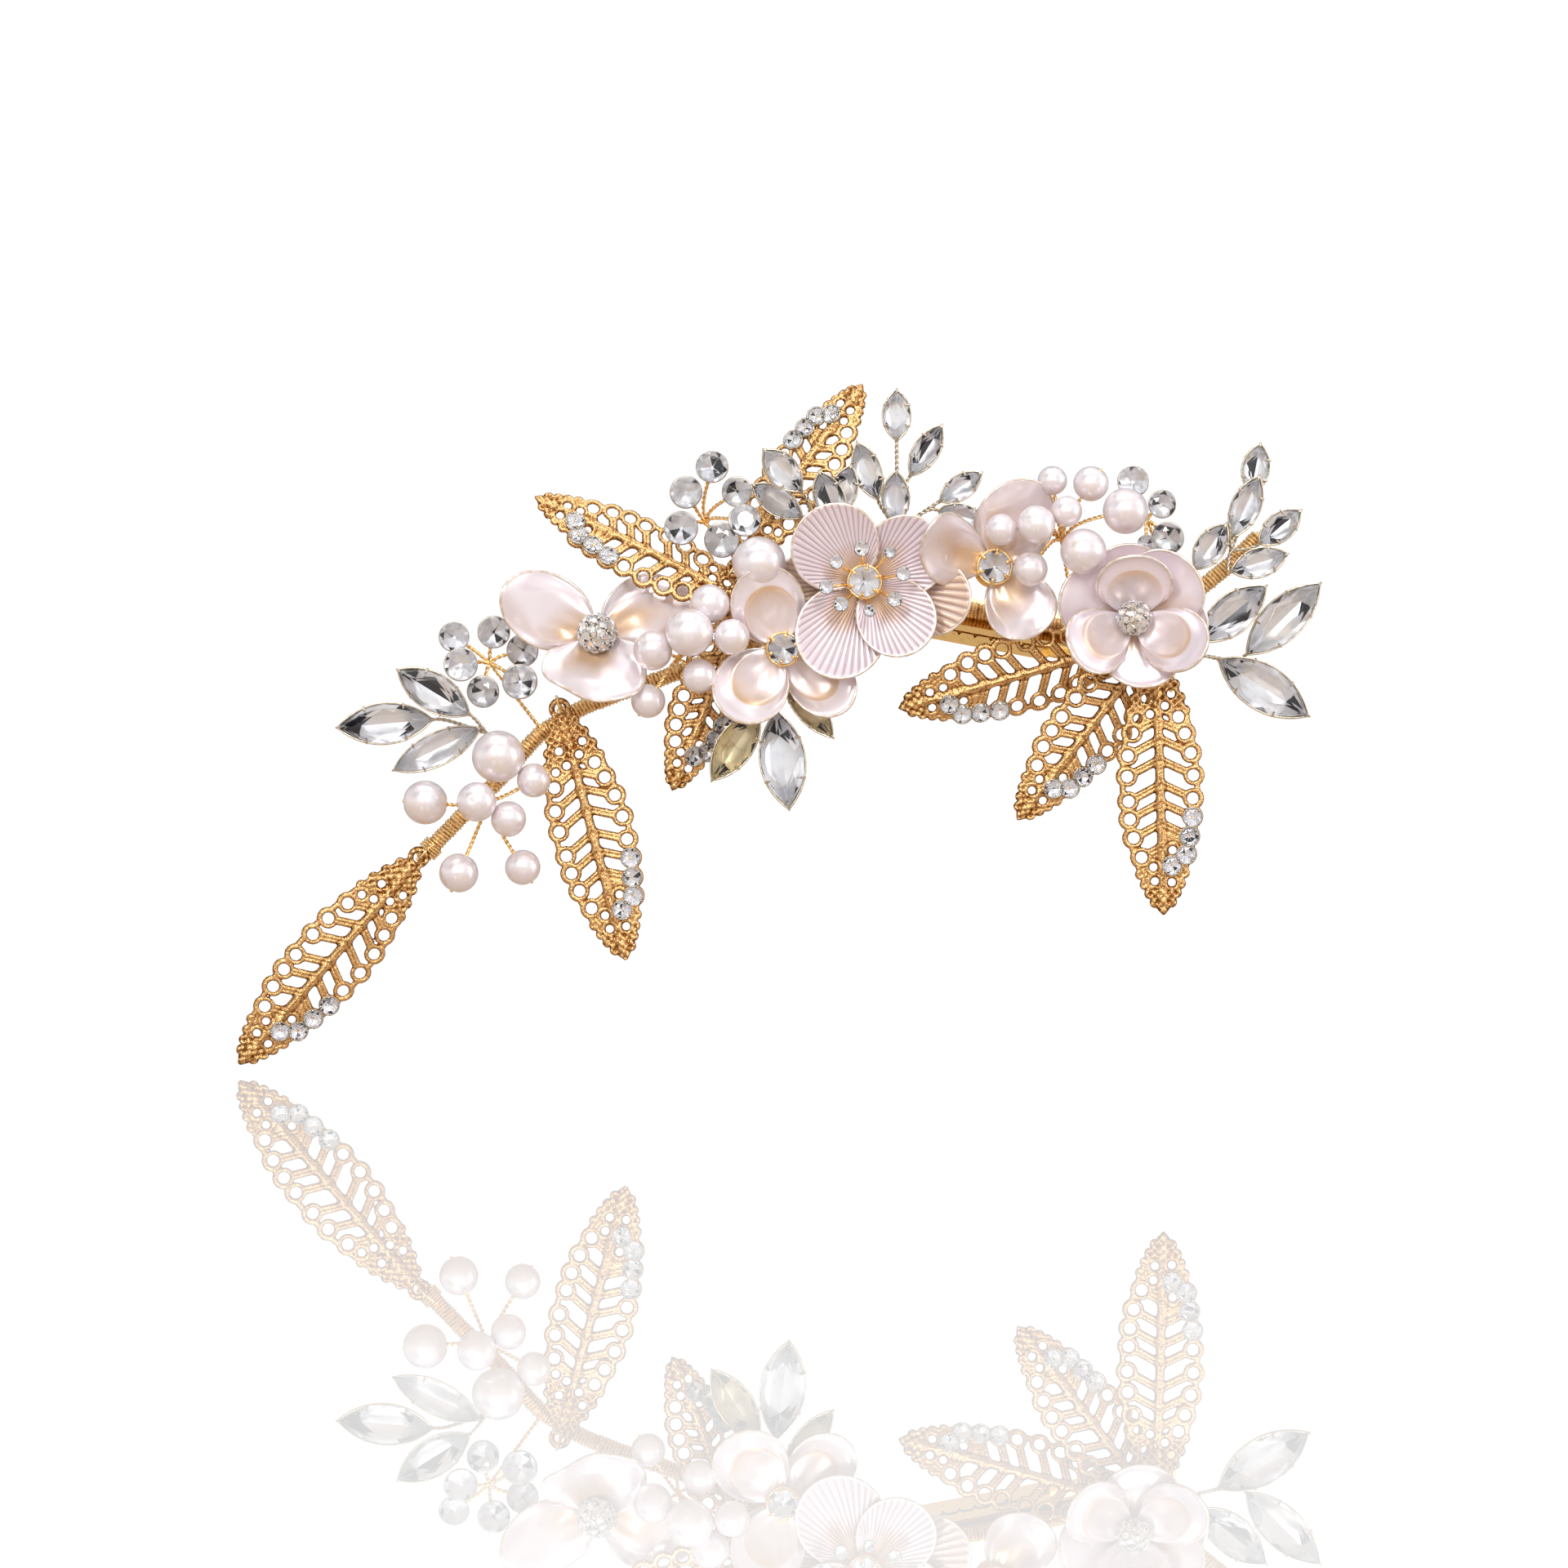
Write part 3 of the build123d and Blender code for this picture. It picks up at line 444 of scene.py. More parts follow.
def in_frame(points, origin, axes):
    """Points of a local frame, in the parts' frame."""
    return np.asarray(points) @ np.array(axes) + origin


def rounded(points, reach):
    """A path through points with each corner rounded off over a reach along both its sides."""
    points = [np.asarray(point, float) for point in points]
    path = [points[0]]
    for before, corner, after in zip(points, points[1:], points[2:]):
        back = min(reach, 0.5 * np.linalg.norm(corner - before))
        ahead = min(reach, 0.5 * np.linalg.norm(after - corner))
        start = corner + unit(before - corner) * back
        end = corner + unit(after - corner) * ahead
        for t in np.linspace(0, 1, 9):
            path.append((1 - t) ** 2 * start + 2 * t * (1 - t) * corner + t ** 2 * end)
    return np.array(path + [points[-1]])


def evenly(path, step):
    """A path's points at even steps, with the distance to each."""
    lengths = np.linalg.norm(np.diff(path, axis=0), axis=1)
    along = np.concatenate([[0], np.cumsum(lengths)])
    count = max(4, int(along[-1] / step))
    wanted = np.linspace(0, along[-1], count)
    return np.stack([np.interp(wanted, along, path[:, axis]) for axis in range(3)], -1), wanted


def path_frames(path):
    """Two directions across a path at each point, carried along without twist."""
    tangents = np.gradient(path, axis=0)
    tangents /= np.linalg.norm(tangents, axis=1)[:, None]
    normal = np.cross(tangents[0], (0.31, 0.9, 0.3))
    normals = []
    for tangent in tangents:
        normal = unit(normal - tangent * normal.dot(tangent))
        normals.append(normal)
    normals = np.array(normals)
    return normals, np.cross(tangents, normals)


def tube(build, path, radius, sides=8, kind=0, groove=0.0):
    """A round tube with flat ends. The radius is a number or a table of rows by sides."""
    normals, sideways = path_frames(path)
    turn = np.linspace(0, 2 * math.pi, sides, endpoint=False)[None, :, None]
    radii = np.broadcast_to(radius, (len(path), sides))[:, :, None]
    across = normals[:, None] * np.cos(turn) + sideways[:, None] * np.sin(turn)
    points = path[:, None] + across * radii
    build.add(points, grid_faces(len(path), sides, wrap=True), kind, groove=groove)
    ends = [list(range(sides))[::-1], list(range(sides, 2 * sides))]
    build.add(np.vstack([points[0], points[-1]]), ends, kind, smooth=False)


def bent_wire(build, corners, reach, step, radius, sides=8):
    """A round wire through corners that are rounded over a reach; returns its path."""
    path, _ = evenly(rounded(corners, reach), step)
    tube(build, path, radius, sides)
    return path


def twisted_wire(build, points, reach):
    """Two strands twisted together along a rounded path."""
    path, along = evenly(rounded(points, reach), WIRE_STEP)
    normals, sideways = path_frames(path)
    phase = (2 * math.pi * along / TWIST_PITCH)[:, None]
    swing = normals * np.cos(phase) + sideways * np.sin(phase)
    for side in (-STRAND_OFFSET, STRAND_OFFSET):
        tube(build, path + side * swing, STRAND_RADIUS, 6)


def ball(build, centre, radius, detail=2, kind=0, shaped=None):
    """A ball of triangles, which a function of the unit directions may reshape."""
    work = bmesh.new()
    bmesh.ops.create_icosphere(work, subdivisions=detail, radius=1)
    directions = np.array([vert.co[:] for vert in work.verts])
    faces = np.array([[vert.index for vert in face.verts] for face in work.faces])
    work.free()
    radii = radius if shaped is None else radius * shaped(directions)[:, None]
    build.add(np.asarray(centre) + directions * radii, faces, kind)


def circle_points(radius, z, count, phase=0.0):
    """Points round a circle at one height."""
    turn = 2 * math.pi * (np.arange(count) + phase) / count
    return [(radius * math.cos(a), radius * math.sin(a), z) for a in turn]


def walled(build, loops, origin, axes, kind=0, floor=True):
    """A wall through loops of points in a local frame, with a floor in the first loop."""
    sides = len(loops[0])
    points = in_frame(np.array(loops).reshape(-1, 3), origin, axes)
    build.add(points, grid_faces(len(loops), sides, wrap=True), kind)
    if floor:
        build.add(points[:sides], [list(range(sides))[::-1]], kind)


def turned(build, profile, size, sides, *place, **options):
    """A wall turned about Z, from a profile of (radius, height) as parts of a size."""
    loops = [circle_points(radius * size, z * size, sides) for radius, z in profile]
    walled(build, loops, *place, **options)


def closed_sheet(front, count):
    """Faces of a sheet: its front, its back (which is count points on) and the walls between them."""
    edges = np.concatenate([front[:, [turn, (turn + 1) % 4]] for turn in range(4)])
    paired = np.isin(edges[:, 0] * count + edges[:, 1], edges[:, 1] * count + edges[:, 0])
    first, second = edges[~paired].T
    walls = np.stack([second, first, first + count, second + count], -1)
    return np.concatenate([front, front[:, ::-1] + count, walls])


def ridge(value, place, width):
    """A rounded ridge of height 1 where a value is at a place."""
    return np.exp(-((value - place) / width) ** 2)


def wavy(along, across, rate, bend, bend_rate):
    """Wavy stripes, from -1 to 1."""
    return np.sin(rate * along + bend * np.sin(bend_rate * across))


def facing(z_axis, reference):
    """Axes with Z along a direction and X square to it and to a reference."""
    x_axis = unit(np.cross(reference, z_axis))
    return x_axis, np.cross(z_axis, x_axis), z_axis


# Cut stones

def hull(points):
    """A faceted solid round points: corners, faces and the height of each face's normal."""
    work = bmesh.new()
    for point in points:
        work.verts.new(point)
    bmesh.ops.convex_hull(work, input=work.verts)
    bmesh.ops.dissolve_limit(work, angle_limit=0.02, verts=work.verts, edges=work.edges)
    bmesh.ops.recalc_face_normals(work, faces=work.faces)
    work.verts.index_update()
    corners = np.array([vert.co[:] for vert in work.verts])
    faces = [[vert.index for vert in face.verts] for face in work.faces]
    heights = [face.normal.z for face in work.faces]
    work.free()
    return corners, faces, heights


def round_gem():
    """A brilliant of radius 1: table, two rows of crown facets, girdle and two rows below."""
    return hull([point for ring in ROUND_CUT for point in circle_points(*ring)])


def boat(share):
    """Half width of a boat outline at a share from -1 to 1 of its half length."""
    return 0.5 * (1 - abs(share) ** BOAT_POWER)


def boat_gem():
    """A boat-shaped stone of length 1 and width 1 (heights are shares of the width)."""
    points = [(end * x, 0, z) for x, z in BOAT_RIDGE for end in (-1, 1)]
    for side in (-1, 1):
        points += [(s / 2, side * boat(s), z) for z in GIRDLE_HEIGHTS for s in BOAT_GIRDLE]
        points += [(end * x, side * y, z) for x, y, z in BOAT_CROWN for end in (-1, 1)]
        points.append((0, side * BOAT_SHOULDER[0], BOAT_SHOULDER[1]))
        points += [(s, side * 0.3 * (1 - (2.3 * s) ** 2), -0.22 + 0.2 * s * s) for s in BOAT_BELLY]
    return hull(points)


def set_gem(build, gem, scale, origin, axes, foil=FOIL, dark_reflection_share=DARK_REFLECTION_SHARE):
    """One faceted stone: clear in front, foiled behind, with a few back facets painted black as dark
    reflections.
    """
    corners, faces, heights = gem
    kinds = []
    for height in heights:
        # Some back facets are painted black, standing in for dark reflections
        behind = DARK_REFLECTION if DICE.rand() < dark_reflection_share else foil
        kinds.append(GLASS if height > BACK_FACING else behind)
    build.add(in_frame(corners * scale, origin, axes), faces, kinds, smooth=False)


ROUND_GEM = round_gem()
BOAT_GEM = boat_gem()


# Materials

def new_material(name, colour, metallic, roughness, **sockets):
    """A Principled material with its plain sockets set, and the tools to add to its nodes."""
    material = bpy.data.materials.new(name)
    material.use_nodes = True
    shader = material.node_tree.nodes["Principled BSDF"]
    shader.inputs["Base Color"].default_value = (*colour, 1)
    shader.inputs["Metallic"].default_value = metallic
    shader.inputs["Roughness"].default_value = roughness
    for socket, value in sockets.items():
        shader.inputs[socket.replace("_", " ")].default_value = value
    return material, material.node_tree, shader


def node(tree, kind, inputs=None, **settings):
    """A node with its settings and its inputs' values or links."""
    made = tree.nodes.new("ShaderNode" + kind)
    for name, value in settings.items():
        setattr(made, name, value)
    for name, value in (inputs or {}).items():
        if isinstance(value, bpy.types.NodeSocket):
            tree.links.new(value, made.inputs[name])
        else:
            made.inputs[name].default_value = value
    return made


def tint(tree, shader, colour):
    """Gives the surface a colour that comes from other nodes."""
    tree.links.new(colour, shader.inputs["Base Color"])


def ramp(tree, factor, *stops):
    """A colour ramp of (place, colour) stops."""
    made = node(tree, "ValToRGB", {"Fac": factor})
    elements = made.color_ramp.elements
    while len(elements) < len(stops):
        elements.new(0.5)
    for element, (place, colour) in zip(elements, stops):
        element.position = place
        element.color = (*colour, 1)
    return made.outputs["Color"]


def pattern(tree, kind, scale, output="Fac", **inputs):
    """A texture in object space."""
    place = node(tree, "TexCoord").outputs["Object"]
    values = {"Vector": place, "Scale": scale}
    values.update({name.replace("_", " "): value for name, value in inputs.items()})
    return node(tree, kind, values).outputs[output]


def attribute(tree, name):
    """A value stored on the mesh."""
    return node(tree, "Attribute", attribute_name=name).outputs["Fac"]


def sums(tree, operation, first, second):
    """A math node's result."""
    return node(tree, "Math", {0: first, 1: second}, operation=operation).outputs[0]


def blend_colours(tree, way, factor, first, second):
    """Two colours mixed in a way, by a factor. A mix node's colours are its inputs 6 and 7."""
    inputs = {"Factor": factor, 6: first, 7: second}
    return node(tree, "Mix", inputs, data_type="RGBA", blend_type=way).outputs[2]


def bump(tree, shader, height, distance, strength=1.0):
    """Raises the surface by a height pattern."""
    made = node(tree, "Bump", {"Height": height, "Distance": distance, "Strength": strength})
    tree.links.new(made.outputs["Normal"], shader.inputs["Normal"])


def metal(name, dark, light, roughness, grain_scale, grain_depth, **sockets):
    """Grained metal: darker in its hollows, its gloss broken by a fine grain."""
    material, tree, shader = new_material(name, light, 1, roughness, **sockets)
    grain = pattern(tree, "TexNoise", grain_scale, Detail=3.0)
    shade = sums(tree, "SUBTRACT", sums(tree, "MULTIPLY", grain, 1.7), attribute(tree, "groove"))
    tint(tree, shader, ramp(tree, shade, (0.12, dark), (0.78, light)))
    limits = {"Value": grain, "To Min": roughness * 0.7, "To Max": roughness * 1.35}
    rough = node(tree, "MapRange", limits)
    tree.links.new(rough.outputs["Result"], shader.inputs["Roughness"])
    bump(tree, shader, grain, grain_depth)
    return material


def petal_material(name, light, tan, crease_shade, roughness, coat):
    """Lacquered petal: pale towards its rim, with painted tan shade at its root and in its hollows, faint
    streaks, and painted shade in its grooves.
    """
    material, tree, shader = new_material(name, light, 0.3, roughness, Coat_Weight=coat,
                                          Coat_Roughness=0.16, Sheen_Weight=0.1)
    streaks = pattern(tree, "TexNoise", 420.0, Detail=2.0)
    # Painted tan shade from the mesh, with random streaks added, turns the pale colour tan
    tone = sums(tree, "ADD", attribute(tree, "tone"), sums(tree, "MULTIPLY", streaks, 0.3))
    shaded_colour = ramp(tree, tone, (0.26, light), (1.0, tan))
    # Painted shade darkens the petals' pleat creases
    tint(tree, shader, blend_colours(tree, "MIX", attribute(tree, "groove"), shaded_colour, (*crease_shade, 1)))
    bump(tree, shader, pattern(tree, "TexNoise", 5200.0, Detail=2.0), 0.00001, 0.5)
    return material


def pearl_material():
    """Lustrous pearl: cream and rose bands under a soft skin."""
    material, tree, shader = new_material(
        "pearl", (0.83, 0.75, 0.77), 0.4, 0.3, Coat_Weight=0.5, Coat_Roughness=0.14,
    )
    bands = pattern(tree, "TexNoise", 260.0, Detail=1.5, Distortion=0.6)
    colour = ramp(tree, bands, (0.3, (0.87, 0.78, 0.73)), (0.52, (0.86, 0.79, 0.83)),
                  (0.75, (0.91, 0.87, 0.86)))
    tint(tree, shader, colour)
    bump(tree, shader, pattern(tree, "TexNoise", 1500.0), 0.000008, 0.6)
    return material


def glass_material():
    """Clear crystal."""
    material, tree, shader = new_material("crystal_glass", (0.97, 0.975, 1.0), 0, 0.0,
                                          Transmission_Weight=1.0, IOR=1.54)
    patches = pattern(tree, "TexNoise", 240.0)
    tint(tree, shader, ramp(tree, patches, (0.35, (0.93, 0.95, 1.0)), (0.65, (1.0, 0.985, 0.96))))
    return material


def foil_material(name, light, tinge, deep, metallic):
    """Lacquered back of a stone, seen through it: bright, with tinged patches."""
    material, tree, shader = new_material(name, light, metallic, 0.22)
    patches = pattern(tree, "TexVoronoi", 620.0, "Distance", Randomness=1.0)
    tint(tree, shader, ramp(tree, patches, (0.0, tinge), (0.3, light), (0.62, light), (0.9, deep)))
    return material


def petal_edge_material():
    """Thin bright lip of a petal, over its metal frame."""
    material, tree, shader = new_material("petal_edge", (0.9, 0.84, 0.8), 0.55, 0.28, Coat_Weight=0.4)
    wear = pattern(tree, "TexNoise", 900.0, Detail=2.0)
    tint(tree, shader, ramp(tree, wear, (0.4, (0.72, 0.58, 0.46)), (0.62, (0.9, 0.83, 0.8))))
    return material


LEAF_GOLD = metal("leaf_gold", (0.25, 0.1, 0.025), (0.87, 0.54, 0.235), 0.26, 4200.0, 0.00011)
WIRE_GOLD = metal("wire_gold", (0.52, 0.28, 0.08), (0.95, 0.66, 0.3), 0.2, 1800.0, 0.00002)
THREAD_GOLD = metal("thread_gold", (0.3, 0.14, 0.035), (0.95, 0.64, 0.3), 0.34, 3600.0, 0.00012)
CLIP_GOLD = metal("clip_gold", (0.62, 0.36, 0.1), (0.98, 0.72, 0.33), 0.16, 900.0, 0.000012)
SETTING_GOLD = metal("setting_gold", (0.2, 0.16, 0.1), (0.68, 0.6, 0.48), 0.24, 1600.0, 0.00003)
PAVE_METAL = metal("pave_metal", (0.5, 0.42, 0.32), (0.93, 0.85, 0.72), 0.25, 1600.0, 0.00003)
SPRING_STEEL = metal("spring_steel", (0.3, 0.3, 0.31), (0.7, 0.7, 0.72), 0.24, 1200.0, 0.00001)
# Colour of the painted shade in a petal's creases
CREASE_SHADE_GREY = (0.5, 0.42, 0.42)
# Petal finishes: pale colour, colour of the painted tan shade, colour of the painted crease shade,
# roughness and coat
SHELL = petal_material("shell_petal", (0.84, 0.75, 0.78), (0.70, 0.47, 0.30), CREASE_SHADE_GREY, 0.26, 0.8)
PLEATED = petal_material("pleated_petal", (0.80, 0.68, 0.73), (0.66, 0.44, 0.29), (0.34, 0.25, 0.26),
                         0.36, 0.3)
ROSE = petal_material("rose_petal", (0.85, 0.75, 0.80), (0.74, 0.52, 0.38), CREASE_SHADE_GREY, 0.28, 0.6)
PETAL_EDGE = petal_edge_material()
PEARL = pearl_material()
PETAL_COATS = {
    "shell": (SHELL, "shell_petal"), "bowl": (SHELL, "shell_petal"), "pleat": (PLEATED, "pleated_petal"),
    "rose": (ROSE, "rose_petal"), "cup": (ROSE, "rose_petal"),
}
GEM_PARTS = [
    glass_material(),
    foil_material("silver_foil", (0.98, 0.98, 1.0), (0.79, 0.84, 1.0), (0.88, 0.87, 0.9), 0.66),
    # Not a foil: facets painted near black as dark reflections
    foil_material("painted_dark_reflection", (0.02, 0.02, 0.025), (0.05, 0.05, 0.06), (0.01, 0.01, 0.012), 0.2),
    foil_material("gilt_foil", (0.9, 0.76, 0.46), (0.95, 0.9, 0.74), (0.6, 0.46, 0.2), 0.45),
    metal("stone_rim", (0.12, 0.1, 0.08), (0.5, 0.45, 0.38), 0.3, 1600.0, 0.00002),
]


# Stem

def make_stem():
    """Metallic thread wound round the stem, and the cut ends of its core wire; returns its path."""
    corners = [placed((x, STEM_Y, z)) for x, z in STEM_ROUTE]
    path, along = evenly(rounded(corners, STEM_BEND), STEM_STEP)
    along = along[:, None]
    turn = np.linspace(0, 2 * math.pi, WRAP_SIDES, endpoint=False)[None, :]
    wave = np.cos(2 * math.pi * along / THREAD_PITCH - turn)
    lumps = 1
    for share, rate, times, cross_rate, cross_times in THREAD_LUMPS:
        crossed = np.sin(cross_rate * along + cross_times * turn)
        lumps = lumps + share * np.sin(rate * along + times * turn) * crossed
    valley = (0.5 - 0.5 * wave) ** 2 - 6 * (lumps - 1)
    winding, core = Build(), Build()
    tube(winding, path, WRAP_RADIUS * lumps + THREAD_HEIGHT * wave, WRAP_SIDES,
         groove=np.clip(0.6 * valley, 0, 1).ravel())
    for end, inner in ((0, 1), (-1, -2)):
        out = unit(path[end] - path[inner])
        tip = np.array([path[end] + past * out for past, _ in CORE_TIP])
        tube(core, tip, [[radius] for _, radius in CORE_TIP], 12)
    winding.make("stem_winding", [THREAD_GOLD], "stem_thread_wrap", "gold_thread")
    core.make("stem_core_ends", [WIRE_GOLD], "stem_core_wire", "gold_wire")
    return path


# Pearls and round crystals

def pearl_shape(axis, seed):
    """A pearl is a little uneven and dips at its drilled ends."""
    shift = np.array([math.sin(seed * 3.1), math.cos(seed * 1.7), math.sin(seed * 5.3)])

    def shaped(directions):
        uneven = PEARL_UNEVEN * np.sin(3 * directions @ shift + seed) + PEARL_SKEW * directions[:, 2]
        return 1 + uneven - DRILL_DIP * np.exp(-((1 - np.abs(directions @ axis)) / DRILL_WIDTH))
    return shaped


def spray_wires(build, branches, centres):
    """The wires of one spray; returns each bead's direction away from where the wires spread."""
    left = list(range(len(centres)))
    away = [None] * len(centres)
    for root, fork, which in branches:
        root, fork = placed(root), placed(fork)
        twisted_wire(build, [root, fork + unit(root - fork) * NECK, fork], NECK / 2)
        order = sorted(left, key=lambda number: np.linalg.norm(centres[number] - fork))
        for number in order[:1] if which == "nearest" else order:
            reach = np.linalg.norm(centres[number] - fork)
            ahead = fork + unit(fork - root) * 0.3 * reach
            knee = (ahead + (fork + centres[number]) / 2) / 2
            twisted_wire(build, [fork, knee, centres[number]], 0.45 * reach)
            away[number] = unit(centres[number] - knee)
            left.remove(number)
    return away


def make_pearls(side):
    """One spray of pearls, the wire tips that show beyond them, and its twisted wires."""
    beads = [middle_and_half(corners) for corners in islands(f"{side}_pearls")]
    wires, pearls = Build(), Build()
    away = spray_wires(wires, PEARL_SPRAYS[side], [centre for centre, _ in beads])
    for number, ((centre, half), axis) in enumerate(zip(beads, away)):
        radius = half.max()
        ball(pearls, centre, radius, detail=5, shaped=pearl_shape(axis, number + 1))
        if axis @ VIEWER < TIP_FACING:
            ball(pearls, centre + axis * radius * 0.96, WIRE_TIP, kind=1)
    pearls.make(f"pearls_{side}", [PEARL, WIRE_GOLD], f"{side}_pearls", "pearl")
    wires.make(f"pearl_wires_{side}", [WIRE_GOLD], f"{side}_pearl_wires", "gold_wire")


def make_crystals(side):
    """One spray of round crystals, each in a thin dark rim, and its twisted wires."""
    halves = [middle_and_half(corners) for corners in islands(f"{side}_crystals")]
    beads = [(centre, half[0] / math.cos(math.pi / 8)) for centre, half in halves]
    wires, stones = Build(), Build()
    backs = [centre - VIEWER * CRYSTAL_BACK * radius for centre, radius in beads]
    spray_wires(wires, CRYSTAL_SPRAYS[side], backs)
    for number, (centre, radius) in enumerate(beads):
        tilt = CRYSTAL_TILT * np.array([math.sin(number * 2.4), 0, math.cos(number * 1.9)])
        axes = facing(unit(VIEWER + tilt), (0.2, 0, 1))
        set_gem(stones, ROUND_GEM, radius, centre, axes)
        turned(stones, CRYSTAL_RIM, radius, 32, centre, axes, kind=SETTING, floor=False)
    stones.make(f"crystals_{side}", GEM_PARTS, f"{side}_crystals", "crystal")
    wires.make(f"crystal_wires_{side}", [WIRE_GOLD], f"{side}_crystal_wires", "gold_wire")


# Marquise stones

def marquise_setting(build, length, width, origin, axes):
    """A thin metal cup that follows the stone's outline, with claws at its ends and sides."""
    turn = np.linspace(0, 2 * math.pi, BOAT_CUP_SIDES, endpoint=False)
    share = np.cos(turn)
    half = np.sign(np.sin(turn)) * boat(share)
    loops = []
    for stretch, grow, height in BOAT_CUP:
        x = share * (stretch * length / 2 + grow)
        y = half * (stretch * width) + np.sign(half) * grow * (1 - share ** 8)
        loops.append(np.stack([x, y, np.full(BOAT_CUP_SIDES, height * width)], -1))
    walled(build, loops, origin, axes)
    for place, side in BOAT_CLAWS:
        outward = np.array((0, side, 0) if side else (place, 0, 0))
        foot = (place * length / 2, side * boat(place) * width, 0) + outward * BOAT_CLAW_GAP
        claw = [foot + outward * step + (0, 0, height * width) for step, height in BOAT_CLAW_BEND]
        bent_wire(build, in_frame(claw, origin, axes), 0.0003, 0.00012, BOAT_CLAW_RADIUS, 6)


def make_marquises(side):
    """One spray of boat-shaped stones in their settings, on twisted wires."""
    root, fork = (placed(point) for point in MARQUISE_SPRAYS[side])
    stones, settings = Build(), Build()
    twisted_wire(settings, [root, (root + fork) / 2, fork], 0.001)
    for corners in islands(f"{side}_marquise_stones"):
        centre = corners.mean(0)
        _, _, spread = np.linalg.svd(corners - centre, full_matrices=False)
        x_axis = spread[0] * (1 if (centre - fork) @ spread[0] > 0 else -1)
        z_axis = spread[2] * -np.sign(spread[2][1])
        axes = (x_axis, np.cross(z_axis, x_axis), z_axis)
        local = (corners - centre) @ np.array(axes).T
        length = np.ptp(local[:, 0])
        width = np.ptp(local[:, 1]) / BOAT_SIDE
        origin = centre + z_axis * local[np.argmax(local[:, 0]), 2]
        gilt = any(np.hypot(*(placed((x, 0, z)) - centre)[[0, 2]]) < GILT_REACH for x, z in GILT_STONES)
        foil = GILT if gilt else FOIL
        # Longer stones get more facets painted black as dark reflections
        dark_reflection_share = LARGE_DARK_REFLECTION_SHARE if length > LARGE_STONE else DARK_REFLECTION_SHARE
        set_gem(stones, BOAT_GEM, (length, width, width), origin, axes, foil, dark_reflection_share)
        marquise_setting(settings, length, width, origin, axes)
        heel = origin - x_axis * (length / 2 - 0.0003) - z_axis * 0.1 * width
        reach = np.linalg.norm(heel - fork)
        twisted_wire(settings, [fork, heel - x_axis * 0.25 * reach, heel], 0.4 * reach)
    stones.make(f"marquise_stones_{side}", GEM_PARTS, f"{side}_marquise_stones", "crystal")
    settings.make(f"marquise_settings_{side}", [SETTING_GOLD], f"{side}_marquise_settings",
                  "setting_gold")


# Leaves

def half_width(share):
    """Half of the leaf's width at a share of its length, as part of the full width."""
    inside = np.clip(share, 0.0005, 0.9995)
    return 0.5 * (4 * inside * (1 - inside)) ** LEAF_FULLNESS


def blend_max(first, second, reach):
    """The larger of two distances, with the corner between them rounded."""
    mix = np.clip(0.5 + 0.5 * (first - second) / reach, 0, 1)
    return mix * first + (1 - mix) * second + reach * mix * (1 - mix)


def vein_openings(x, y, side, ring_spots, edge):
    """Distance from the openings between one side's veins: each vein runs from the midrib to a ring."""
    off = side * y
    along = x - VEIN_LEAN * off
    starts = [spot[0] - VEIN_LEAN * side * spot[1] for spot in ring_spots]
    nearest = np.min([np.abs(along - start) for start in starts], axis=0)
    metal_at = VEIN_HALF_WIDTH - nearest / math.hypot(1, VEIN_LEAN)
    metal_at = blend_max(metal_at, MIDRIB_HALF_WIDTH - off, CORNER_ROUND)
    metal_at = blend_max(metal_at, off - edge + EDGE_BAND, CORNER_ROUND)
    metal_at = np.maximum(metal_at, np.maximum(min(starts) - along, along - max(starts)))
    for ring_x, ring_y in ring_spots:
        rope = RING_HOLE + ROPE_WIDTH - np.hypot(x - ring_x, y - ring_y)
        metal_at = blend_max(metal_at, rope, 0.5 * CORNER_ROUND)
    return metal_at


def leaf_field(x, y, length, spread, seats):
    """How deep in the metal each point lies: negative outside the leaf and in its openings."""
    edge = OUTLINE_SHARE * FULL_WIDTH * spread * half_width(x / length)
    slope = np.gradient(edge, axis=0) / LEAF_CELL
    body = (edge - np.abs(y)) / np.sqrt(1 + np.clip(slope, -3, 3) ** 2)
    body = np.where((x < 0) | (x > length), -np.abs(y) - LEAF_CELL, body)
    depth = np.maximum(body, EYELET_RADIUS - np.hypot(x - EYELET_CENTRE, y))
    upper = [(share * length, offset * spread) for share, offset in STONE_SIDE_RINGS]
    lower = [(share * length, -offset * spread) for share, offset in PLAIN_SIDE_RINGS]
    stones = sorted(tuple(seat[:2]) for seat in seats)
    for spot_x, spot_y in upper + lower + stones:
        depth = np.maximum(depth, SCALLOP_RADIUS - np.hypot(x - spot_x, y - spot_y))
    for share in EDGE_LUMPS:
        out = OUTLINE_SHARE * FULL_WIDTH * spread * half_width(share) - 0.45 * LUMP_RADIUS
        depth = np.maximum(depth, LUMP_RADIUS - np.hypot(x - share * length, np.abs(y) - out))
    openings = [np.hypot(x - ring_x, y - ring_y) - RING_HOLE for ring_x, ring_y in upper + lower]
    openings += [np.hypot(x - share * length, y - offset * spread) - SMALL_HOLE
                 for share, offset in SMALL_HOLES]
    openings.append(np.hypot(x - EYELET_CENTRE, y) - EYELET_HOLE)
    openings.append(vein_openings(x, y, 1, upper + stones[:2], edge))
    openings.append(vein_openings(x, y, -1, lower, edge))
    for opening in openings:
        depth = np.minimum(depth, opening)
    for seat_x, seat_y in stones:
        depth = np.maximum(depth, LEAF_STONE_RADIUS - np.hypot(x - seat_x, y - seat_y))
    return depth


def leaf_lift(x, y, length, spread):
    """How the leaf arches along its length and cambers across it."""
    share = np.clip(x / length, 0, 1)
    across = y / (FULL_WIDTH * spread / 2)
    return LEAF_ARCH * np.sin(math.pi * share) - LEAF_CAMBER * across ** 2


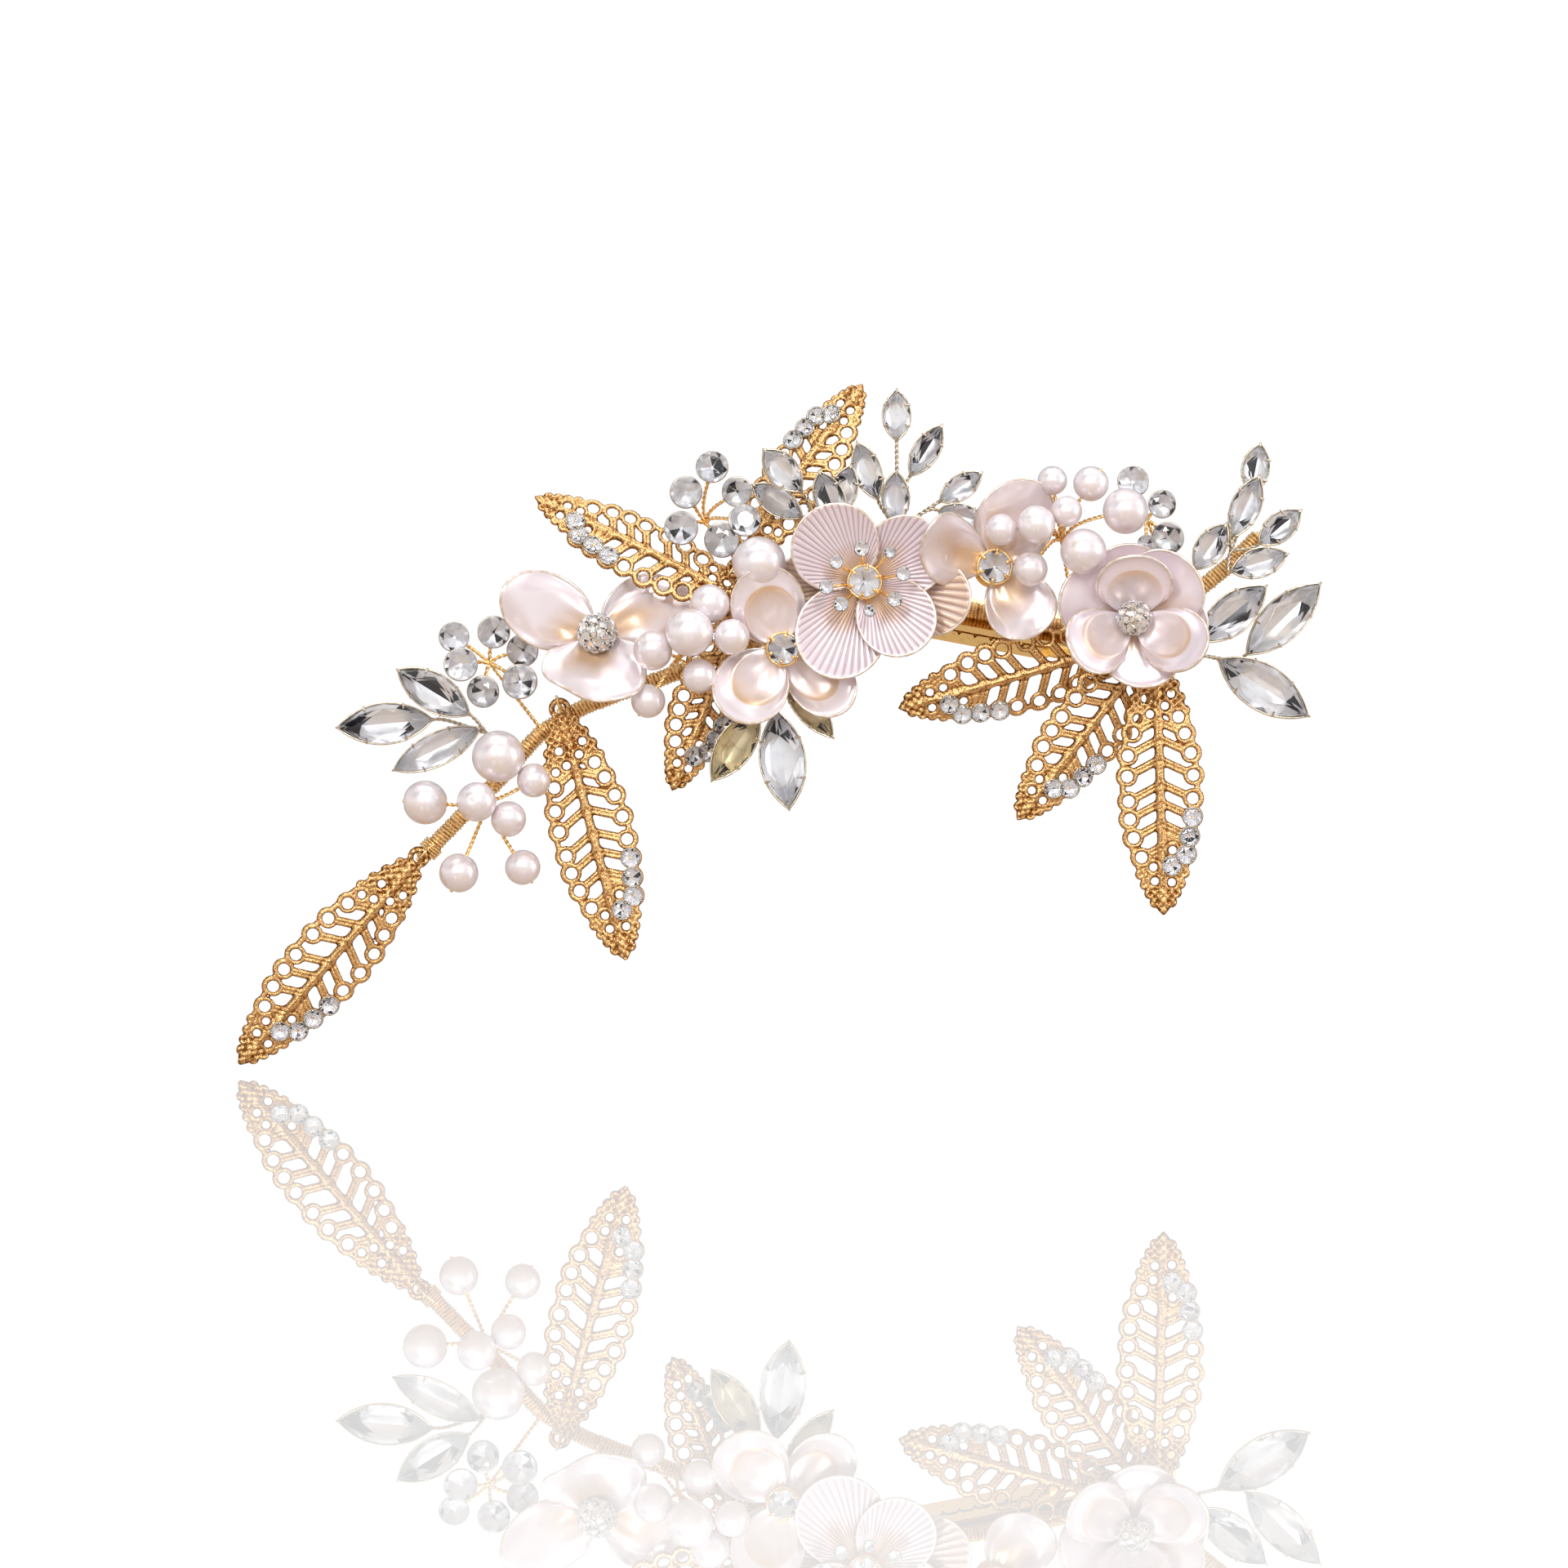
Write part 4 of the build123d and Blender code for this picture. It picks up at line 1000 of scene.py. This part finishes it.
def leaf_frame(name, stem):
    """A leaf's origin, axes, length and width share, read from its CAD part."""
    corners = points_of(name)
    middle, _ = middle_and_half(corners)
    _, _, spread = np.linalg.svd(corners - corners.mean(0), full_matrices=False)
    out = spread[2] * -np.sign(spread[2][1])
    heights = (corners - middle) @ out
    flat = corners - np.outer(heights - (heights.max() + heights.min()) / 2, out)
    along = flat @ spread[0]
    ends = sorted((flat[along.argmin()], flat[along.argmax()]),
                  key=lambda end: np.linalg.norm(stem - end, axis=1).min())
    x_axis = unit(ends[1] - ends[0])
    origin = ends[0] + x_axis * (EYELET_RADIUS - EYELET_CENTRE)
    y_axis = np.cross(out, x_axis)
    sideways = (flat - origin) @ y_axis
    spread_share = (sideways.max() - SCALLOP_RADIUS) / WIDEST_RING
    length = np.linalg.norm(ends[1] - origin)
    return origin, (x_axis, y_axis, out), length, spread_share


def leaf_grid(length, spread, seats):
    """A fine grid over the leaf cut along its openings: x, y, depth in the metal, and faces."""
    before, after, beside = GRID_MARGINS
    reach = FULL_WIDTH * spread / 2 + beside
    xs = np.arange(-before, length + after, LEAF_CELL)
    x, y = np.meshgrid(xs, np.arange(-reach, reach, LEAF_CELL), indexing="ij")
    depth = leaf_field(x, y, length, spread, seats)
    slope_x, slope_y = np.gradient(depth, LEAF_CELL)
    steep = slope_x ** 2 + slope_y ** 2 + 0.05
    near = (depth > -CUT_OUTSIDE) & (depth < CUT_INSIDE)
    x = np.where(near, x - depth * slope_x / steep, x)
    y = np.where(near, y - depth * slope_y / steep, y)
    faces = grid_faces(*x.shape)
    level = depth.ravel()
    kept = (level[faces] > -CUT_OUTSIDE).all(1) & (level[faces] > 0).any(1)
    used, faces = np.unique(faces[kept][:, ::-1], return_inverse=True)
    return x.ravel()[used], y.ravel()[used], np.clip(level[used], 0, None), faces.reshape(-1, 4)


def leaf_relief(x, y, level, length):
    """Heights of the stamped front and back, and how dark the hollows are."""
    share = x / length
    inner = np.clip(level / RIM_ROUND, 0, 1)
    rim = RIM_DROP * (1 - np.sqrt(1 - (1 - inner) ** 2))
    fade = np.clip(6 * (1 - share), 0, 1) * np.clip(12 * share, 0, 1)
    rib = MIDRIB_HEIGHT * ridge(y, 0, MIDRIB_WIDTH) * fade
    furrow = FURROW[0] * ridge(np.abs(y), *FURROW[1:])
    hollow = HOLLOW[0] * ridge(level, *HOLLOW[1:])
    first, last = SOLID_ENDS
    solid = np.clip((first - share) * SCROLL_FADE, 0, 1) + np.clip((share - last) * SCROLL_FADE, 0, 1)
    turn = 2 * math.pi / SCROLL_PITCH
    scroll = SCROLL_HEIGHT * solid * np.sin(turn * x) * np.cos(turn * y)
    grain = GRAIN * DICE.standard_normal(len(x))
    grain += PEBBLE * wavy(x, y, *PEBBLE_WAVES[0]) * wavy(y, x, *PEBBLE_WAVES[1])
    front = LEAF_HALF_SHEET - rim + rib - furrow - hollow + scroll + grain
    back = -LEAF_HALF_SHEET + 0.6 * rim + 0.5 * grain
    groove = 0.9 * (1 - inner) ** 3 + 2200 * (furrow + hollow) - 3000 * np.minimum(scroll + grain, 0)
    return front, back, groove


def leaf_sheet(build, origin, axes, length, spread, seats):
    """The stamped filigree sheet with its relief."""
    x, y, level, faces = leaf_grid(length, spread, seats)
    front, back, groove = leaf_relief(x, y, level, length)
    lift = leaf_lift(x, y, length, spread)
    local = np.concatenate([np.stack([x, y, height + lift], -1) for height in (front, back)])
    build.add(in_frame(local, origin, axes), closed_sheet(faces, len(x)), groove=np.tile(groove, 2))


def seat_stones(stones, seats, origin, axes, length, spread):
    """The stones along a leaf's edge, each in a collar with four small claws."""
    radius = LEAF_STONE_RADIUS
    for x, y, _ in seats:
        height = LEAF_STONE_HEIGHT - LEAF_STONE_SINK + leaf_lift(x, y, length, spread)
        centre = in_frame((x, y, height), origin, axes)
        set_gem(stones, ROUND_GEM, (radius, radius, LEAF_STONE_FLAT * radius), centre, axes)
        turned(stones, LEAF_COLLAR, radius, 24, centre, axes, kind=SETTING, floor=False)
        for claw in circle_points(0.98 * radius, 0.1 * radius, 4, 0.5):
            ball(stones, in_frame(claw, centre, axes), LEAF_STONE_CLAW, kind=SETTING)


def bind_leaf(build, origin, axes, stem):
    """Wire that loops through a leaf's eyelet and winds round the stem."""
    eye = origin + axes[0] * EYELET_CENTRE
    nearest = int(np.linalg.norm(stem - eye, axis=1).argmin())
    nearest = min(max(nearest, TURN_POINTS), len(stem) - TURN_POINTS)
    here = stem[nearest]
    tangent = unit(stem[nearest + 8] - stem[nearest - 8])
    across = unit(np.cross(tangent, (0, 0, 1)))
    upward = np.cross(tangent, across)
    turn = np.linspace(0, 2 * math.pi * BINDING_TURNS, TURN_POINTS * BINDING_TURNS)[:, None]
    advance = tangent * (turn / (2 * math.pi) - BINDING_TURNS / 2) * BINDING_PITCH
    radius = WRAP_RADIUS + THREAD_HEIGHT + BINDING_RADIUS
    coil = here + advance + radius * (across * np.cos(turn) + upward * np.sin(turn))
    tube(build, coil, BINDING_RADIUS)
    loop = [eye + axes[0] * along + axes[2] * out for along, out in BINDING_LOOP]
    bent_wire(build, [coil[-1], *loop, here], 0.0006, 0.0002, BINDING_RADIUS)


def make_leaves(stem):
    """All leaves, their stones and the wire that binds each eyelet to the stem."""
    stones, bindings = Build(), Build()
    stone_centres = np.array([middle_and_half(corners)[0] for corners in islands("leaf_rhinestones")])
    for name in LEAVES:
        origin, axes, length, spread = leaf_frame(name, stem)
        local = (stone_centres - origin) @ np.array(axes).T
        x, y, z = local.T
        on_leaf = (x > 0.5 * length) & (x < 0.9 * length) & (np.abs(y) < FULL_WIDTH / 2)
        on_leaf &= np.abs(z - LEAF_STONE_HEIGHT) < LEAF_HALF_SHEET
        build = Build()
        leaf_sheet(build, origin, axes, length, spread, local[on_leaf])
        seat_stones(stones, local[on_leaf], origin, axes, length, spread)
        build.make(name.replace("leaf_", "filigree_leaf_"), [LEAF_GOLD], name, "leaf_gold")
        bind_leaf(bindings, origin, axes, stem)
    stones.make("leaf_edge_stones", GEM_PARTS, "leaf_rhinestones", "crystal")
    bindings.make("leaf_bindings", [WIRE_GOLD], "leaf_binding_wires", "gold_wire")


# Flowers

def stone_place(name):
    """The middle of a round stone's girdle, and its radius, read from its CAD part."""
    low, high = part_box(name)
    radius = (high.x - low.x) / 2
    return np.array(((low.x + high.x) / 2, low.y + CHATON_CROWN * radius, (low.z + high.z) / 2)), radius


def flower_root(name):
    """Where a flower's petals spring from, read from its middle stone or ball."""
    if name.endswith("crystal"):
        middle, _ = stone_place(name)
    else:
        middle = np.array(sum(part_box(name), Vector()) / 2)
    return middle - VIEWER * CENTRE_RISE


def petal_axes(direction, lean):
    """Axes of a petal: X along a direction, leaning towards the viewer, Z to the viewer."""
    turn, tilt = math.radians(direction), math.radians(lean)
    x_axis = np.array((math.cos(tilt) * math.cos(turn), -math.sin(tilt), math.cos(tilt) * math.sin(turn)))
    z_axis = np.array((-math.sin(tilt) * math.cos(turn), -math.cos(tilt), -math.sin(tilt) * math.sin(turn)))
    return x_axis, np.cross(z_axis, x_axis), z_axis


def smooth_step(low, high, value):
    """A smooth rise from 0 at low to 1 at high."""
    t = np.clip((value - low) / (high - low), 0, 1)
    return t * t * (3 - 2 * t)


def outline_power(ratio):
    """The power p for which a reach of cos(angle) ** p has that ratio of width to length."""
    low, high = 0.2, 6.0
    for _ in range(40):
        power = (low + high) / 2
        widest = math.atan(power ** -0.5)
        if 2 * math.cos(widest) ** power * math.sin(widest) > ratio:
            low = power
        else:
            high = power
    return power


def petal_points(form, number, length, width, dish):
    """Points of a petal's face in its own frame, with its painted tan shade and the painted shade in its
    pleats' creases.
    Rows run from the root to the rim and columns fan out from the root."""
    phase = 1.3 * number + 0.4
    s = np.linspace(0.05, 1, PETAL_ROWS)[:, None]
    angle = np.linspace(-FAN, FAN, PLEAT_COLS if form == "pleat" else PETAL_COLS)[None, :]
    reach = length * np.cos(angle) ** outline_power(width / length)
    reach = s * reach * (1 + NOTCH[form] * np.cos(5 * angle + phase))
    x = PETAL_START + reach * np.cos(angle)
    y = reach * np.sin(angle)
    low = PETAL_START + PETAL_LOW * length
    rim = smooth_step(0.66, 1.0, s)
    outer = smooth_step(0.3, 1.0, s)
    wave = np.sin(3.1 * angle + phase) * outer + 0.4 * np.cos(8 * angle + phase) * rim
    z = ((x - low) ** 2 + y ** 2) / (2 * dish) - FLARE[form] * rim + WAVE[form] * wave
    # Painted tan shade, strongest towards the root
    tone = ROOT_SHADE[form] * (1 - smooth_step(0.1, 0.68, s + 0.1 * np.cos(3 * angle + phase)))
    groove = np.zeros_like(y)
    # Painted shadow in the hollow just inside a bowl's or cup's rim, deepest at the rim
    if form in RIM_SHADOW:
        inside = np.exp(np.minimum(s - RIM_START, 0) / RIM_SHADOW_FADE)
        inside = inside * (1 - smooth_step(RIM_START, RIM_START + 0.03, s))
        tone = tone + RIM_SHADOW[form] * inside * np.cos(angle) ** 3
    # Painted tan shade in a band down one side of a shell or rose petal
    if form in ("shell", "rose"):
        tone = tone + 0.45 * ridge(angle, 0.6 * math.cos(phase), 0.3) * (1 - rim)
    if form == "pleat":
        fold = 0.5 - 0.5 * np.cos(2 * math.pi * PLEATS * angle / FAN)
        deep = smooth_step(0.06, 0.4, s) * (1 - smooth_step(0.955, 1.0, s))
        z = z - PLEAT_HEIGHT * fold ** 3 * deep
        # Painted shade along the bottom of each pleat's crease
        groove = 0.75 * fold ** 7 * deep
    else:
        z = z + CREASE_HEIGHT * np.sin(11 * angle + 2 * phase) * s
    return np.stack([x, y, z], -1), tone, groove


def petal_slab(build, points, tone, groove):
    """A petal with its thickness: its face and back, and its edge in the second material."""
    rows, cols = points.shape[:2]
    normals = np.cross(np.gradient(points, axis=0), np.gradient(points, axis=1))
    normals /= np.linalg.norm(normals, axis=-1)[..., None] + 1e-12
    both = np.concatenate([points.reshape(-1, 3), (points - normals * PETAL_SHEET).reshape(-1, 3)])
    front = grid_faces(rows, cols)[:, ::-1]
    faces = closed_sheet(front, rows * cols)
    kinds = [0] * (2 * len(front)) + [1] * (len(faces) - 2 * len(front))
    build.add(both, faces, kinds, tone=np.tile(tone.ravel(), 2), groove=np.tile(groove.ravel(), 2))


def make_petals(name):
    """One ring of a flower's petals."""
    middle_node, form, tan = FORMS[name]
    root = flower_root(middle_node)
    build = Build()
    for number, (direction, lean, length, width, dish, step_back) in enumerate(PETALS[name]):
        axes = petal_axes(direction, lean)
        local, tone, groove = petal_points(form, number, length, width, dish)
        points = in_frame(local, root - VIEWER * step_back, axes)
        # Some sets, most of all the back petals, get extra painted tan shade
        petal_slab(build, points, tone + tan, groove)
        tube(build, points[-1] - axes[2] * 0.5 * PETAL_SHEET, LIP_RADIUS, kind=1)
    coat, slot = PETAL_COATS[form]
    build.make(name.replace("_petals", "_ring"), [coat, PETAL_EDGE], name, slot)


def make_pave(name):
    """A champagne metal ball set all over with small stones, with beads of metal between them."""
    centre, half = middle_and_half(points_of(name))
    radius = half.max()
    stone = PAVE_STONE_SHARE * radius
    core_depth, stone_depth, bead_depth = PAVE_DEPTHS
    metal_kind = len(GEM_PARTS)
    build = Build()
    ball(build, centre, core_depth * radius, detail=4, kind=metal_kind)
    for number in range(PAVE_STONES):
        high = 1 - 2 * (number + 0.5) / PAVE_STONES
        around = math.sqrt(1 - high * high)
        turn = GOLDEN_ANGLE * number
        out = unit((around * math.cos(turn), -high, around * math.sin(turn)))
        axes = facing(out, (-0.1, -0.2, -1))
        set_gem(build, ROUND_GEM, stone, centre + out * stone_depth * radius, axes)
        for bead in circle_points(1.12 * stone, 0.1 * stone, 3, number * 0.3):
            spot = in_frame(bead, centre + out * bead_depth * radius, axes)
            ball(build, spot, 0.2 * stone, kind=metal_kind)
    build.make(name.replace("_ball", "_cluster"), GEM_PARTS + [PAVE_METAL], name, "pave")


def make_chaton(name):
    """A flower's round middle stone and its claw cup."""
    centre, radius = stone_place(f"{name}_crystal")
    axes = petal_axes(80, 0)
    stone, cup = Build(), Build()
    set_gem(stone, ROUND_GEM, np.array((1, 1, 1.1)) * radius * 0.97, centre, axes)
    turned(cup, CLAW_CUP, radius, 40, centre, axes)
    for foot in circle_points(1.1 * radius, -0.5 * radius, CUP_CLAWS):
        flat = unit((foot[0], foot[1], 0))
        bend = np.array(foot) + (0, 0, 0.62 * radius)
        claw = [foot, bend, bend - flat * 0.28 * radius + (0, 0, 0.12 * radius)]
        path = bent_wire(cup, in_frame(claw, centre, axes), 0.0004, 0.0001, CLAW_RADIUS)
        ball(cup, path[-1], 1.25 * CLAW_RADIUS)
    stone.make(f"{name}_middle_stone", GEM_PARTS, f"{name}_crystal", "crystal")
    cup.make(f"{name}_stone_cup", [WIRE_GOLD], f"{name}_claw_cup", "setting_gold")


def make_stamens():
    """Eight bent stalks round the main flower's middle, each with a small stone in a cup."""
    root = flower_root("main_flower_crystal")
    stalks, stones = Build(), Build()
    for number, corners in enumerate(islands("main_flower_stamen_stones")):
        tip, half = middle_and_half(corners)
        out = unit((tip[0] - root[0], 0, tip[2] - root[2]))
        stalk = [root + out * reach + VIEWER * rise for reach, rise in (STAMEN_FOOT, STAMEN_KNEE)]
        stalk.append(tip - VIEWER * 0.75 * half[0])
        bent_wire(stalks, stalk, 0.0025, 0.00018, STAMEN_WIRE)
        radius = half[0] * (1.05 + 0.12 * math.sin(number * 2.2))
        axes = petal_axes(37 * number, 0)
        set_gem(stones, ROUND_GEM, radius, tip, axes)
        turned(stones, STAMEN_CUP, radius, 20, tip, axes, kind=SETTING)
    stalks.make("stamen_stalks", [WIRE_GOLD], "main_flower_stamen_wires", "gold_wire")
    stones.make("stamen_stones", GEM_PARTS, "main_flower_stamen_stones", "crystal")


# Clip

def spring_half(half, side, body):
    """Half of the torsion spring: turns of wire on the hinge and the leg that bears on its jaw."""
    name = f"clip_spring_{half}_half"
    pin = np.array(HINGE["pos_m"])
    axis = unit(HINGE["axis"])
    middle, _ = middle_and_half(points_of(name))
    leg_way = unit(middle - pin - axis * ((middle - pin) @ axis))
    up = np.cross(axis, leg_way)
    turn = np.linspace(0, 2 * math.pi * COIL_TURNS, COIL_POINTS)[:, None]
    shift = side * (COIL_START + COIL_PITCH * turn / (2 * math.pi))
    coil = pin + axis * shift + COIL_RADIUS * (leg_way * np.cos(turn) + up * np.sin(turn))
    leg = pin + axis * shift[0] + up * side * LEG_RISE + leg_way * np.array(LEG_ENDS)[:, None]
    path, _ = evenly(np.vstack([leg, coil]), 0.00015)
    build = Build()
    tube(build, path, COIL_WIRE)
    build.make(f"spring_{half}_half", [SPRING_STEEL], name, "spring_steel", body)


def finish_cad(name, material):
    """A CAD part that keeps its shape gets its finish."""
    piece = NODES[name]
    piece.data.materials.clear()
    piece.data.materials.append(material)


# Studio

def make_floor():
    """Pale floor that mirrors where it is seen edge on, and lights the object warmly from below."""
    low, _ = CAD_BOX
    height = low.z - FLOOR_GAP
    sides = ((-1, -1), (1, -1), (1, 1), (-1, 1))
    mesh = bpy.data.meshes.new("floor")
    mesh.from_pydata([(x * FLOOR_HALF, y * FLOOR_HALF, height) for x, y in sides], [], [(0, 1, 2, 3)])
    floor = bpy.data.objects.new("floor", mesh)
    SCENE.collection.objects.link(floor)
    material = bpy.data.materials.new("floor_white")
    material.use_nodes = True
    tree = material.node_tree
    tree.nodes.clear()
    seen = node(tree, "LightPath").outputs["Is Camera Ray"]
    colour = blend_colours(tree, "MIX", seen, FLOOR_BOUNCE, SEEN_WHITE)
    glow = node(tree, "Emission", {"Color": colour, "Strength": 1.0})
    mirror = node(tree, "BsdfGlossy", {"Color": (1, 1, 1, 1), "Roughness": 0.0})
    facing_away = node(tree, "LayerWeight", {"Blend": 0.5}).outputs["Facing"]
    gloss = sums(tree, "MULTIPLY", sums(tree, "POWER", facing_away, 4.0), FLOOR_GLOSS)
    mixed = node(tree, "MixShader", {0: gloss, 1: glow.outputs[0], 2: mirror.outputs[0]})
    node(tree, "OutputMaterial", {"Surface": mixed.outputs[0]})
    mesh.materials.append(material)


def make_surroundings():
    """White to the camera, even for diffuse light, and with dark cards for the stones to reflect."""
    world = bpy.data.worlds.new("studio")
    SCENE.world = world
    world.use_nodes = True
    tree = world.node_tree
    tree.nodes.clear()
    way = node(tree, "TexCoord").outputs["Generated"]
    split = node(tree, "SeparateXYZ", {"Vector": way})
    front = sums(tree, "MULTIPLY", sums(tree, "ADD", split.outputs["Y"], 1.0), 0.5)
    fill = ramp(tree, front, (0.0, (0.34, 0.33, 0.34)), (0.6, (0.4, 0.4, 0.42)), (1.0, (0.34, 0.33, 0.34)))
    shine = ramp(tree, front, (0.0, (0.9, 0.9, 0.95)), (0.1, (1, 1, 1)), (0.58, (1, 1, 1)),
                 (0.8, (0.8, 0.79, 0.8)), (0.9, (0.25, 0.24, 0.25)), (0.972, (0.25, 0.24, 0.25)),
                 (0.98, (1.05, 1.05, 1.05)))
    cards = pattern(tree, "TexVoronoi", 3.4, "Color", Randomness=1.0)
    tree.links.new(way, cards.node.inputs["Vector"])
    card = ramp(tree, cards, (0.34, (0.012, 0.012, 0.016)), (0.37, (1, 1, 1)))
    low = ramp(tree, split.outputs["Z"], (0.3, (1, 1, 1)), (0.36, (0, 0, 0)))
    shine = blend_colours(tree, "MULTIPLY", 1.0, shine, blend_colours(tree, "LIGHTEN", 1.0, card, low))
    ray = node(tree, "LightPath")
    lit = blend_colours(tree, "MIX", ray.outputs["Is Diffuse Ray"], shine, fill)
    final = blend_colours(tree, "MIX", ray.outputs["Is Camera Ray"], lit, SEEN_WHITE)
    background = node(tree, "Background", {"Color": final, "Strength": 1.0})
    node(tree, "OutputWorld", {"Surface": background.outputs[0]})


def make_lamps():
    """Soft rectangular lamps that point at the object."""
    aim = Vector(LAMP_AIM)
    for name, place, width, height, power in LAMPS:
        lamp = bpy.data.lights.new(name, "AREA")
        lamp.shape = "RECTANGLE"
        lamp.size, lamp.size_y, lamp.energy = width, height, power
        holder = bpy.data.objects.new(name, lamp)
        holder.location = place
        holder.rotation_euler = (aim - Vector(place)).to_track_quat("-Z", "Y").to_euler()
        holder.visible_camera = False
        holder.visible_glossy = name != "behind"
        SCENE.collection.objects.link(holder)


def make_camera():
    """Level camera square to the object."""
    SCENE.view_settings.view_transform = "Standard"
    camera = bpy.data.cameras.new("camera")
    camera.lens = LENS
    camera.sensor_width = SENSOR_WIDTH
    eye = bpy.data.objects.new("camera", camera)
    side, depth, height = CAMERA_AIM
    eye.location = (side, depth - VIEW_WIDTH * LENS / SENSOR_WIDTH, height)
    eye.rotation_euler = (math.radians(90), 0, 0)
    SCENE.collection.objects.link(eye)
    SCENE.camera = eye


def main():
    """Every piece in turn, then the studio."""
    stem = make_stem()
    for side in PEARL_SPRAYS:
        make_pearls(side)
    for side in CRYSTAL_SPRAYS:
        make_crystals(side)
    for side in MARQUISE_SPRAYS:
        make_marquises(side)
    make_leaves(stem)
    for name in PETALS:
        make_petals(name)
    for name in ("left_flower_pave_ball", "rose_flower_pave_ball"):
        make_pave(name)
    for name in ("mid_left_flower", "main_flower", "mid_right_flower"):
        make_chaton(name)
    make_stamens()
    spring_half("fixed", 1, FIXED)
    spring_half("moving", -1, MOVING)
    for name in ("clip_upper_jaw", "clip_lower_jaw", "clip_hinge_pin"):
        finish_cad(name, CLIP_GOLD)
    finish_cad("flower_backing_discs", WIRE_GOLD)
    make_floor()
    make_surroundings()
    make_lamps()
    make_camera()


main()
